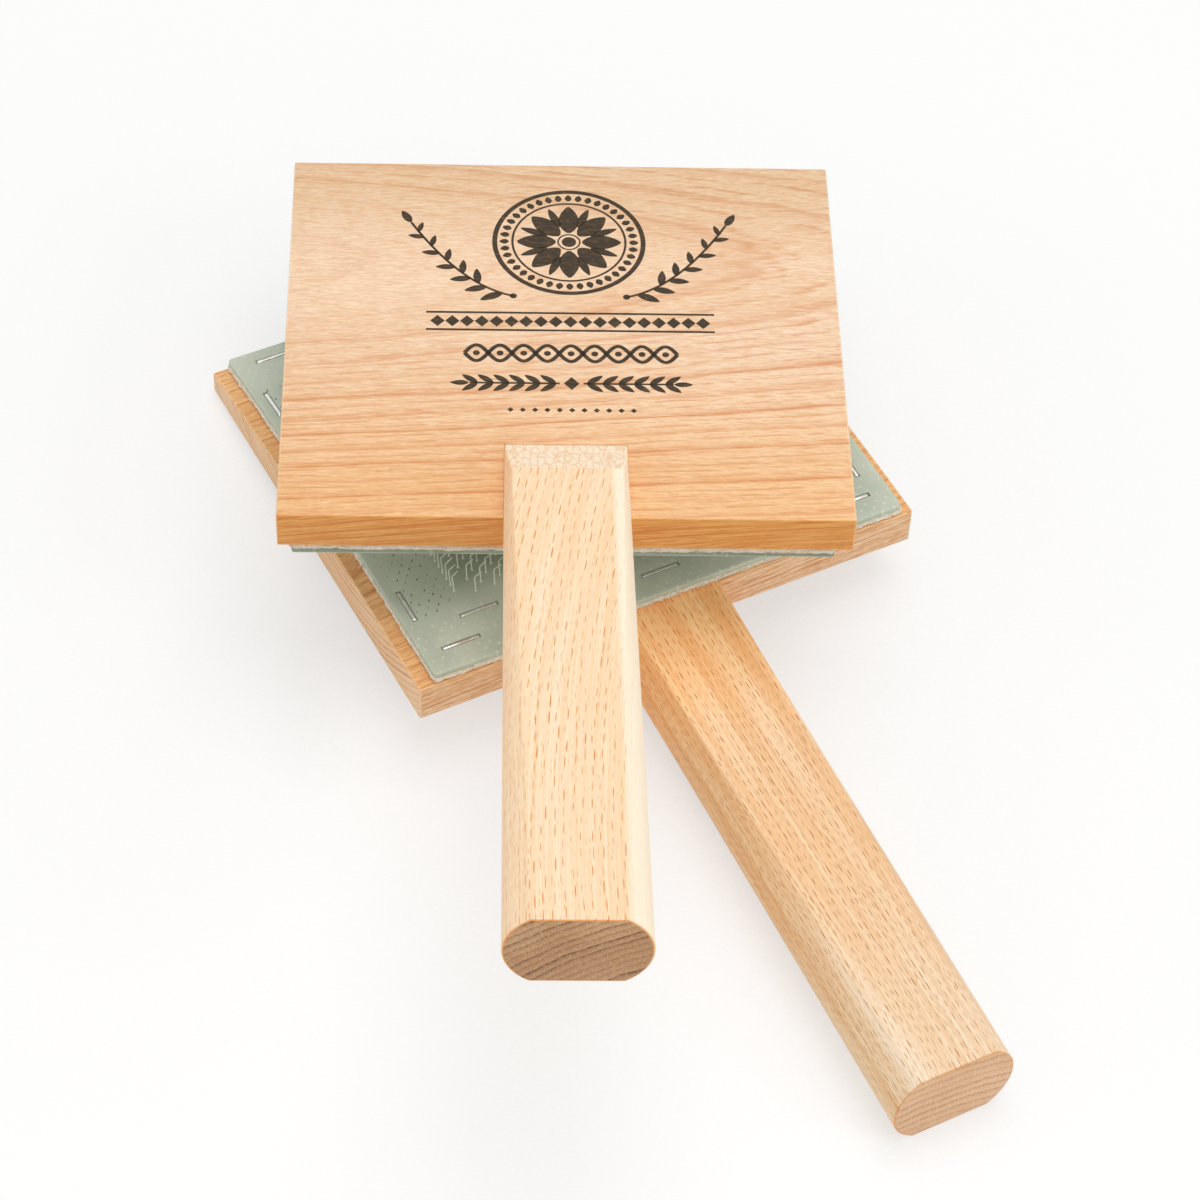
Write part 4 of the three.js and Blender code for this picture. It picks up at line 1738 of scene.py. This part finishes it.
    def lift(self, x: Array, y: Array, height: Array) -> Array:
        """Places plan points at a height square to the crowned face.

        Args:
            x: Places across.
            y: Places along.
            height: Heights over the face.

        Returns:
            Points in the card's millimetres.
        """
        lean = self.board.lean(y)
        radius = self.board.crown_radius + height
        centre = self.board.thickness - self.board.crown_radius
        along = self.board.crown_y + radius * np.sin(lean)
        return np.stack(np.broadcast_arrays(x, along, centre + radius * np.cos(lean)), axis=-1)

    def rubber(self) -> Surface:
        """Shapes the rubber face: a sheet dished round the slots of its staples, with collars at the wires.

        The upper side's height is the sheet's, less the slot depth inside a slot, less
        dish_depth exp(-(d / dish_breadth)^2) at a distance d from the nearest slot, less the rounding at the
        edge, and a slow wave is added.

        Returns:
            The closed sheet with its closed collars.
        """
        slots = self.slots()
        x_lines = self.lines(self.left, self.right, self.mesh_step, slots[:, :2])
        y_lines = self.lines(self.near, self.far, self.mesh_step, slots[:, 2:])
        y, x = np.meshgrid(y_lines, x_lines, indexing="ij")
        beside = np.maximum(slots[:, 0] - x[..., None], x[..., None] - slots[:, 1])
        beyond = np.maximum(slots[:, 2] - y[..., None], y[..., None] - slots[:, 3])
        away = np.hypot(np.maximum(beside, 0), np.maximum(beyond, 0)).min(axis=-1)
        inside = (np.maximum(beside, beyond) < 1e-3).any(axis=-1)
        edge = np.minimum.reduce([x - self.left, self.right - x, y - self.near, self.far - y])
        rounding = self.edge_drop * np.clip(1 - edge / self.edge_breadth, 0, 1) ** 2
        wave = self.wave * np.sin(x / 9 + 1.3 * np.sin(y / 14)) * np.sin(y / 11 + 0.7)
        dish = self.dish_depth * np.exp(-((away / self.dish_breadth) ** 2))
        top = self.rubber_high - rounding - dish - self.slot_depth * inside + wave
        plan = self.plan(x, y)
        sheet = slab(self.lift(plan, y, top), self.lift(plan, y, self.rubber_low))
        return joined([sheet, self.collars()])

    def roots(self) -> tuple[Array, Array]:
        """Places the teeth.

        Rows of one pitch, each moved a twill step past the one before, stand between two close columns at
        the sides. The first wire of the near row is left out.

        Returns:
            x and y of every tooth.
        """
        across, along = self.tooth_pitch
        y = np.arange(self.field_y[0], self.field_y[1] + 0.1, along)
        x = np.arange(self.field_x[0] + self.twill_step, self.field_x[1] - across, across)
        moved = (np.arange(1, len(y) + 1) * self.twill_step) % across
        rows = x + moved[:, None]
        sides = np.broadcast_to(self.field_x, (len(y), 2))
        inner = np.minimum(rows, self.field_x[1] - self.least_gap)
        rows = np.concatenate([sides[:, :1], inner, sides[:, 1:]], axis=1)
        return rows.ravel()[1:], np.repeat(y, rows.shape[1])[1:]

    def collars(self) -> Surface:
        """Shapes the small rubber cones that the wires raised where they came through.

        Returns:
            The cones of a card.
        """
        x, y = self.roots()
        sides = self.collar_sides
        spokes = headings(even_angles(sides))
        rings = np.stack([
            np.concatenate([radius * spokes, np.full((sides, 1), z)], axis=-1)
            for radius, z in (self.collar_root, self.collar_top)
        ])
        placed = self.board.on_face(rings.reshape(1, -1, 3), x, y, self.rubber_high)
        cones = repeated(placed.reshape(len(x), 2, sides, 3))
        cones.marks["pale"] = np.tile(np.repeat([0.2, 1.0], sides), len(x))
        return cones

    def teeth(self, rng: np.random.Generator) -> Surface:
        """Returns the wire teeth.

        Each is a leg that leans to the toe up to the knee, a short bend, and a point that leans back to the
        handle. The bend is drawn in by 0.12 exp(-((z - knee) / 0.35)^2).

        Args:
            rng: The seeded source of the spreads.

        Returns:
            All the teeth of a card.
        """
        x, y = self.roots()
        count = len(x)
        leg = np.tan(self.leg_lean + rng.normal(0, self.leg_spread, count))[:, None]
        point = np.tan(self.point_lean + rng.normal(0, self.point_spread, count))[:, None]
        sway = rng.normal(0, self.sway_spread, count)[:, None]
        knee = self.knee_height
        tall = self.tooth_height - np.abs(rng.normal(0, self.height_spread, count))[:, None]
        z = np.concatenate(
            [np.full((count, 1), v) for v in (-self.root_depth, 0.5 * knee, 0.86 * knee, knee)]
            + [knee + (tall - knee) * v for v in (0.09, 0.5, 1.0)],
            axis=1,
        )
        bend_y = knee * leg
        along = np.where(z <= knee, z * leg, bend_y - (z - knee) * point)
        along -= 0.12 * np.exp(-(((z - knee) / 0.35) ** 2))
        paths = np.stack([sway * z, along, z], axis=-1)
        radii = np.full(z.shape[1], self.wire / 2)
        radii[-1] *= self.tip_share
        rings = tubes(paths, np.tile([[1.0, 0.0, 0.0]], (count, 1)), radii, 5)
        placed = self.board.on_face(rings.reshape(count, -1, 3), x, y, self.rubber_high)
        return repeated(placed.reshape(rings.shape))

    def outline(self, count: int) -> tuple[Array, Array]:
        """Walks round the cloth's edge.

        Args:
            count: How many points.

        Returns:
            The points and the outward directions, each as count x 2.
        """
        r = self.corner
        quarter = np.linspace(0, math.pi / 2, 7)
        corners = [
            (self.right - r, self.near + r, -math.pi / 2), (self.right - r, self.far - r, 0.0),
            (self.left + r, self.far - r, math.pi / 2), (self.left + r, self.near + r, math.pi),
        ]
        rough = np.concatenate([
            np.stack([x + r * np.cos(start + quarter), y + r * np.sin(start + quarter)], axis=-1)
            for x, y, start in corners
        ])
        rough = np.concatenate([rough, rough[:1]])
        run = np.concatenate([[0], np.cumsum(np.linalg.norm(np.diff(rough, axis=0), axis=1))])
        at = np.arange(count) / count * run[-1]
        points = np.stack([np.interp(at, run, rough[:, 0]), np.interp(at, run, rough[:, 1])], axis=-1)
        tangent = np.roll(points, -1, axis=0) - np.roll(points, 1, axis=0)
        tangent /= np.linalg.norm(tangent, axis=1, keepdims=True)
        return points, np.stack([tangent[:, 1], -tangent[:, 0]], axis=-1)

    def cotton(self, rng: np.random.Generator) -> Surface:
        """Returns the cotton backing: rings that shrink to the middle below and above, and a frayed rim.

        A rim point is the outline moved out by a soft noise of a third of a millimetre.

        Args:
            rng: The seeded source of the fraying.

        Returns:
            The closed sheet.
        """
        count = 900
        points, out = self.outline(count)
        middle = points.mean(axis=0)
        shares = np.array([0.02, 0.35, 0.7, 0.9, 0.97])
        inner = middle + (points - middle) * shares[:, None, None]
        levels = np.linspace(0, 1, 9)
        fray = 0.16 * smooth_noise(rng, (len(levels), count), 1) + 0.07 * smooth_noise(rng, (1, count), 12)
        bulge = 0.1 + 0.25 * np.sin(math.pi * levels)[:, None]
        rim = points + out * (bulge + fray)[..., None]
        plan = np.concatenate([inner, rim, inner[::-1]])
        span = self.cotton_high - self.cotton_low
        bumps = 0.05 * smooth_noise(rng, (len(levels), count), 1) * np.sin(math.pi * levels)[:, None]
        heights = np.concatenate([
            np.zeros((len(shares), count)), levels[:, None] + bumps / span, np.ones((len(shares), count))
        ])
        rings = self.lift(plan[..., 0], plan[..., 1], self.cotton_low + span * heights)
        sheet = lofted(rings)
        sheet.marks["ply"] = heights.ravel()
        return sheet

    def fringe(self, rng: np.random.Generator) -> Surface:
        """Returns the loose ends of yarn along the cloth's edge, each a short curl that droops to the board.

        An end sets out within a swing of square to the edge and turns by another, and sinks by 0.35 times the
        square of the way along it.

        Args:
            rng: The seeded source of their places and curls.

        Returns:
            All the ends of a card.
        """
        count, stations, places, longest, lowest = self.yarn_ends, 6, 2000, 1.7, 0.14
        points, out = self.outline(places)
        pick = rng.integers(0, places, count)
        share = np.linspace(0, 1, stations)
        length = np.minimum(rng.gamma(2.2, 0.36, count), longest)[:, None]
        swing = rng.normal(0, 0.7, count)[:, None] + rng.normal(0, 1.1, count)[:, None] * share
        tangent = np.stack([-out[pick][:, 1], out[pick][:, 0]], axis=-1)
        step = length / stations
        forward = np.cumsum(np.cos(swing) * step, axis=1)
        sideways = np.cumsum(np.sin(swing) * step, axis=1)
        plan = (
            points[pick][:, None]
            + out[pick][:, None] * np.abs(forward)[..., None]
            + tangent[:, None] * sideways[..., None]
        )
        start = rng.uniform(0.4, 1.8, count)[:, None]
        height = np.maximum(start - 0.35 * (length * share) ** 2, lowest)
        paths = self.lift(plan[..., 0], plan[..., 1], height)
        radii = rng.uniform(0.05, 0.11, count)[:, None] * (1 - 0.5 * share)
        rings = tubes(paths, np.tile([[0.02, 0.03, 1.0]], (count, 1)), radii, 4)
        threads = repeated(rings)
        threads.marks["ply"] = np.full(len(threads.points), 0.37)
        return threads

    def build(self, maker: Maker, seed: int) -> None:
        """Makes the cloth, its teeth and its staples.

        Args:
            maker: The card's maker.
            seed: The seed of its irregular parts.
        """
        rng = np.random.default_rng(seed)
        looks = {"cotton": Cotton(), "rubber": self.coat}
        looks |= {"wire": Metal.WIRE.value, "staple": Metal.STAPLE.value}
        cotton, rubber, wire, steel = (
            look.material(f"{maker.card}_{word}", maker.frame) for word, look in looks.items()
        )
        backing = maker.mesh("cloth_backing", self.cotton(rng), [cotton])
        maker.dressed(backing, ["cotton_backing"])
        face = maker.mesh("cloth_rubber", self.rubber(), [rubber])
        maker.dressed(face, ["rubber_face"], 35.0)
        fringe = maker.mesh("cloth_fringe", self.fringe(rng), [cotton])
        maker.dressed(fringe)
        teeth = maker.mesh("bent_teeth", self.teeth(rng), [wire])
        maker.dressed(teeth, ["wire_teeth"], 50.0)
        shape = self.staple.rings()
        for name, x, y, upright in self.sites():
            turn = math.pi / 2 if upright else 0.0
            sunk = self.rubber_high - self.staple.sunk
            placed = self.board.on_face(shape.reshape(-1, 3), x, y, sunk, turn).reshape(shape.shape)
            tack = maker.mesh(name.replace("staple", "tack"), lofted(placed), [steel])
            maker.dressed(tack, [name], 50.0)


@dataclass(frozen=True)
class BurntOrnament:
    """A traditional rosette between leafy sprays, over bands of plain pattern, burnt into a board's back."""

    centre: Pair = (-2.0, 115.0)
    proud: float = 0.03
    sunk: float = 0.03
    leaf_steps: int = 12

    def prism(self, outlines: Array) -> Surface:
        """Gives flat outlines their small thickness.

        Args:
            outlines: Points, as shapes x corners x 2.

        Returns:
            The closed shapes.
        """
        flat = np.stack([
            np.concatenate([outlines, np.full((*outlines.shape[:2], 1), z)], axis=-1)
            for z in (self.sunk, -self.proud)
        ], axis=1)
        return repeated(flat)

    def band(self, path: Array, width: float, closed: bool = False) -> Surface:
        """Draws a line of one width along a path: the path moved by half the width to both sides.

        Args:
            path: Points, as count x 2.
            width: The line's width.
            closed: Whether the path is a ring.

        Returns:
            The closed shape.
        """
        if closed:
            along = np.roll(path, -1, axis=0) - np.roll(path, 1, axis=0)
        else:
            along = np.gradient(path, axis=0)
        along /= np.linalg.norm(along, axis=1, keepdims=True)
        side = np.stack([-along[:, 1], along[:, 0]], axis=-1) * width / 2
        corners = [
            (path + side, self.sunk), (path - side, self.sunk),
            (path - side, -self.proud), (path + side, -self.proud),
        ]
        rings = np.stack(
            [np.concatenate([plan, np.full((len(path), 1), z)], axis=1) for plan, z in corners], axis=1
        )
        made = lofted(rings)
        if closed:
            last = (len(path) - 1) * 4 + np.arange(4)
            seam = np.stack([last, np.roll(last, -1), np.roll(np.arange(4), -1), np.arange(4)], axis=-1)
            made = Surface(rings.reshape(-1, 3), [cells(len(path), 4, ring=True), seam], [0, 0]).outward()
        return made

    def leaves(self, at: Array, angle: Array, length: Array, width: Array, curl: float = 0.0) -> Surface:
        """Draws leaves that start at a point.

        The half width is width/2 sin(pi t)^0.7 (1.15 - 0.3 t), and the spine bends aside by curl t^2.

        Args:
            at: Starting points, as count x 2.
            angle: The direction of each leaf.
            length: Its length.
            width: Its greatest width.
            curl: Its bend, as a share of its length.

        Returns:
            The closed shapes.
        """
        there = np.linspace(0.02, 0.98, self.leaf_steps)
        t = np.concatenate([there, np.linspace(0.98, 0.02, self.leaf_steps)])
        sign = np.repeat([1.0, -1.0], self.leaf_steps)
        half = sign * np.sin(math.pi * t) ** 0.7 * (1.15 - 0.3 * t) / 2
        length, width, angle = (np.broadcast_to(a, len(at))[:, None] for a in (length, width, angle))
        along, aside = length * t, width * half + curl * length * t**2
        plan = np.stack([
            along * np.cos(angle) - aside * np.sin(angle), along * np.sin(angle) + aside * np.cos(angle)
        ], axis=-1)
        return self.prism(at[:, None] + plan)

    def dots(self, at: Array, radius: float, corners: int = 14, squash: float = 1.0) -> Surface:
        """Draws round dots, or lozenges with four corners."""
        return self.prism(at[:, None] + radius * headings(even_angles(corners)) * [1.0, squash])

    def circle(self, radius: float, width: float) -> Surface:
        """Draws a ring round the centre."""
        path = np.array(self.centre) + radius * headings(even_angles(96))
        return self.band(path, width, closed=True)

    def rosette(self) -> list[Surface]:
        """Draws eight petals with slim leaves between, inside a ring, a ring of teeth and a broad ring.

        Returns:
            Its parts.
        """
        centre = np.array(self.centre)
        petal, tooth = even_angles(8), even_angles(40)
        slim = petal + math.pi / 8
        return [
            self.leaves(centre + 3.8 * headings(petal), petal, length=12.2, width=6.2),
            self.leaves(centre + 7.0 * headings(slim), slim, length=9.0, width=2.6),
            self.dots(centre[None], radius=2.2, corners=24),
            self.circle(radius=3.3, width=0.5),
            self.circle(radius=17.2, width=0.7),
            self.leaves(centre + 18.3 * headings(tooth), tooth, length=2.9, width=2.1),
            self.circle(radius=22.6, width=1.5),
        ]

    def spray(self, side: float) -> list[Surface]:
        """Draws a leafy spray that springs from under the rosette and sweeps up to one side.

        The stem is x = side (17 + 31 t), y = 91 + 8 t + 24 t^2, with a leaf to either side by turns.

        Args:
            side: 1 or -1, the way that it sweeps along x.

        Returns:
            Its parts.
        """
        t = np.linspace(0, 1, 40)
        stem = np.stack([self.centre[0] + side * (17 + 31 * t), 91 + 8 * t + 24 * t**2], axis=-1)
        heading = np.arctan2(*np.gradient(stem, axis=0).T[::-1])
        inner, outer = np.array([13, 19, 25, 31, 36]), np.array([4, 10, 16, 22, 28, 34])
        long, short = np.linspace(7.4, 5.0, 6), np.linspace(6.4, 4.4, 5)
        return [
            self.band(stem, 0.8),
            self.leaves(stem[outer], heading[outer] - side * 0.7, long, long * 0.38, -0.1 * side),
            self.leaves(stem[inner], heading[inner] + side * 0.7, short, short * 0.38, 0.1 * side),
            self.leaves(stem[-1:], heading[-1:], 6.0, 2.6),
            self.dots(stem[:1], 1.1),
        ]

    @staticmethod
    def level(x: Array, y: float) -> Array:
        """Returns points at the places x on the level line y."""
        return np.stack([x, np.full(len(x), y)], axis=-1)

    def branch(self, side: float, y: float) -> list[Surface]:
        """Draws half of a level branch, with pairs of leaves that point away from the middle.

        Args:
            side: 1 or -1, the way that it runs along x.
            y: Its place along the board.

        Returns:
            Its parts.
        """
        middle, pairs, splay = self.centre[0], 6, 0.62
        stem = self.level(middle + side * np.linspace(3.5, 30.0, 20), y)
        at = self.level(middle + side * (4.5 + 4.6 * np.arange(pairs)), y)
        away = 0.0 if side > 0 else math.pi
        return [
            self.band(stem, 0.7),
            self.leaves(at, np.full(pairs, away + splay), length=5.8, width=2.0),
            self.leaves(at, np.full(pairs, away - splay), length=5.8, width=2.0),
            self.leaves(at[-1:] + [side * 2.6, 0.0], np.full(1, away), length=5.6, width=2.0),
        ]

    def bands(self) -> list[Surface]:
        """Draws the bands below the rosette.

        A ruled row of lozenges, a double wave with eyes, a level branch, and a row of small lozenges.

        Returns:
            Their parts.
        """
        middle, half, wave_half = self.centre[0], 43, 31.5
        ruled_y, wave_y, branch_y, edge_y = 80.0, 66.5, 54.0, 43.0
        rule = np.linspace(-half, half, 30) + middle
        x = np.linspace(-wave_half, wave_half, 200)
        wave = 3.3 * np.sin(x / wave_half * 4.5 * math.pi + math.pi / 2)
        return [
            self.band(self.level(rule, ruled_y + 3.7), 0.8),
            self.band(self.level(rule, ruled_y - 3.7), 0.8),
            self.dots(self.level(np.arange(-9, 10) * 4.4 + middle, ruled_y), 2.15, 4, 1.1),
            self.band(np.stack([x + middle, wave_y + wave], axis=-1), 1.3),
            self.band(np.stack([x + middle, wave_y - wave], axis=-1), 1.3),
            self.dots(self.level(np.arange(-4, 5) * 7.0 + middle, wave_y), 1.05),
            self.dots(np.array([[middle, branch_y]]), 2.3, 4, 1.15),
            *self.branch(1.0, branch_y),
            *self.branch(-1.0, branch_y),
            self.dots(self.level(np.arange(-5, 6) * 3.6 + middle, edge_y), 0.95, 4, 1.0),
        ]

    def build(self, maker: Maker) -> None:
        """Makes the ornament on the card's back.

        Args:
            maker: The card's maker.
        """
        scorch = Scorch().material(f"{maker.card}_scorch", maker.frame)
        parts = self.rosette() + self.spray(1.0) + self.spray(-1.0) + self.bands()
        maker.dressed(maker.mesh("burnt_ornament", joined(parts), [scorch]), smooth=30.0)


@dataclass(frozen=True)
class Card:
    """One hand card: board, handle and clothing.

    Attributes:
        name: lower or upper, before the names of all its pieces.
        board_timber: The board's wood.
        handle_timber: The handle's wood.
        end_timber: The wood of the handle's sawn end.
        seed: The seed of its irregular parts.
        coat: The rubber of its cloth.
        ornament: What is burnt into its back.
    """

    name: str
    board_timber: Timber
    handle_timber: Timber
    end_timber: Timber
    seed: int
    coat: Rubber = Rubber()
    ornament: BurntOrnament | None = None

    def build(self) -> None:
        """Makes the card's pieces."""
        maker = Maker(self.name)
        board = Board()
        handle = Handle(board)
        board.build(maker, handle, self.board_timber)
        handle.build(maker, self.handle_timber, self.end_timber)
        Clothing(board, self.coat).build(maker, self.seed)
        if self.ornament:
            self.ornament.build(maker)


# ---------------- studio


@dataclass(frozen=True)
class Lamp:
    """A soft rectangular lamp that looks at the object."""

    name: str
    place: Triple
    size: float
    power: float
    target: Triple = (0.0, 0.0, 0.05)

    def build(self) -> None:
        """Adds the lamp."""
        data = bpy.data.lights.new(self.name, "AREA")
        data.shape, data.size, data.energy = "SQUARE", self.size, self.power
        made = bpy.data.objects.new(self.name, data)
        made.location = self.place
        ahead = Vector(self.target) - Vector(self.place)
        made.rotation_euler = ahead.to_track_quat("-Z", "Y").to_euler()
        bpy.context.scene.collection.objects.link(made)


@dataclass(frozen=True)
class Studio:
    """A pale floor, soft lamps and the camera."""

    azimuth: float = 7.1905
    elevation: float = 53.484
    roll: float = 8.1268
    place: Triple = (-0.079754, -0.645245, 0.907943)
    sensor: float = 36.0
    lens: float = 111.37
    floor_side: float = 8.0
    floor_colour: Colour = tone(246, 246, 245)
    sky: float = 0.82
    floor_glow: float = 0.55
    lamps: tuple[Lamp, ...] = (
        Lamp("overhead_lamp", (0.1, 0.3, 1.6), 1.2, 9.0),
        Lamp("right_lamp", (1.3, -0.6, 1.0), 0.8, 4.3),
        Lamp("left_lamp", (-1.4, -0.4, 0.9), 0.8, 2.6),
    )

    def camera(self) -> None:
        """Adds the camera, turned by azimuth about the upright, down by elevation, then rolled."""
        azimuth, elevation, roll = (math.radians(a) for a in (self.azimuth, self.elevation, self.roll))
        across = math.cos(elevation)
        ahead = Vector((math.sin(azimuth) * across, math.cos(azimuth) * across, -math.sin(elevation)))
        level = Vector((math.cos(azimuth), -math.sin(azimuth), 0.0))
        above = level.cross(ahead)
        right = level * math.cos(roll) + above * math.sin(roll)
        up = above * math.cos(roll) - level * math.sin(roll)
        turn = Matrix((right, up, -ahead)).transposed().to_4x4()
        data = bpy.data.cameras.new("camera")
        data.sensor_width, data.lens = self.sensor, self.lens
        data.clip_start, data.clip_end = 0.05, 30.0
        made = bpy.data.objects.new("camera", data)
        made.matrix_world = Matrix.Translation(self.place) @ turn
        bpy.context.scene.collection.objects.link(made)
        bpy.context.scene.camera = made

    def floor(self) -> None:
        """Adds the floor: a wide sheet of slightly glossy white board with a faint tooth."""
        side = self.floor_side / 2
        data = bpy.data.meshes.new("floor")
        corners = [(-side, -side, 0), (side, -side, 0), (side, side, 0), (-side, side, 0)]
        data.from_pydata(corners, [], [(0, 1, 2, 3)])
        made = bpy.data.objects.new("floor", data)
        bpy.context.scene.collection.objects.link(made)
        shader = Shader("floor")
        where = shader.node("TexCoord").outputs["Object"]
        tooth = shader.noise(where, (900.0,) * 3)
        roughness = shader.step(tooth, 0.3, 0.7, 0.22, 0.3)
        board = shader.finish(self.floor_colour, roughness, Specular_IOR_Level=0.4)
        tree = shader.tree
        out = tree.nodes["Material Output"].inputs["Surface"]
        share = shader.product(shader.seen(), self.floor_glow)
        glow = shader.node("Emission", Color=(1.0, 1.0, 1.0, 1.0), Strength=1.0).outputs[0]
        both = shader.node("MixShader", in0=share, in1=out.links[0].from_socket, in2=glow).outputs[0]
        tree.links.new(both, out)
        data.materials.append(board)

    def world(self) -> None:
        """Adds an even sky, seen as white by the camera and in reflections."""
        shader = Shader("sky", sky=True)
        strength = shader.node("MapRange", Value=shader.seen(), To_Min=self.sky, To_Max=1.0).outputs[0]
        background = shader.node("Background", Strength=strength).outputs[0]
        shader.node("OutputWorld", Surface=background)
        bpy.context.scene.world = shader.owner

    def build(self) -> None:
        """Adds the whole studio."""
        self.camera()
        self.floor()
        self.world()
        for lamp in self.lamps:
            lamp.build()
        bpy.context.scene.view_settings.view_transform = "Standard"


def main() -> None:
    """Builds the studio and both cards."""
    logging.basicConfig(level=logging.INFO, format="%(message)s")
    Studio().build()
    Card("lower", Timber.LOWER_BOARD, Timber.LOWER_HANDLE, Timber.LOWER_END, seed=11).build()
    Card(
        "upper",
        Timber.UPPER_BOARD,
        Timber.UPPER_HANDLE,
        Timber.UPPER_END,
        seed=23,
        # The upper card's darker rim is painted shade on its rubber's cut walls, which lie under its board.
        coat=Rubber(rim=(0.5, 0.55, 0.5, 1.0)),
        ornament=BurntOrnament(),
    ).build()


if __name__ == "__main__":
    main()
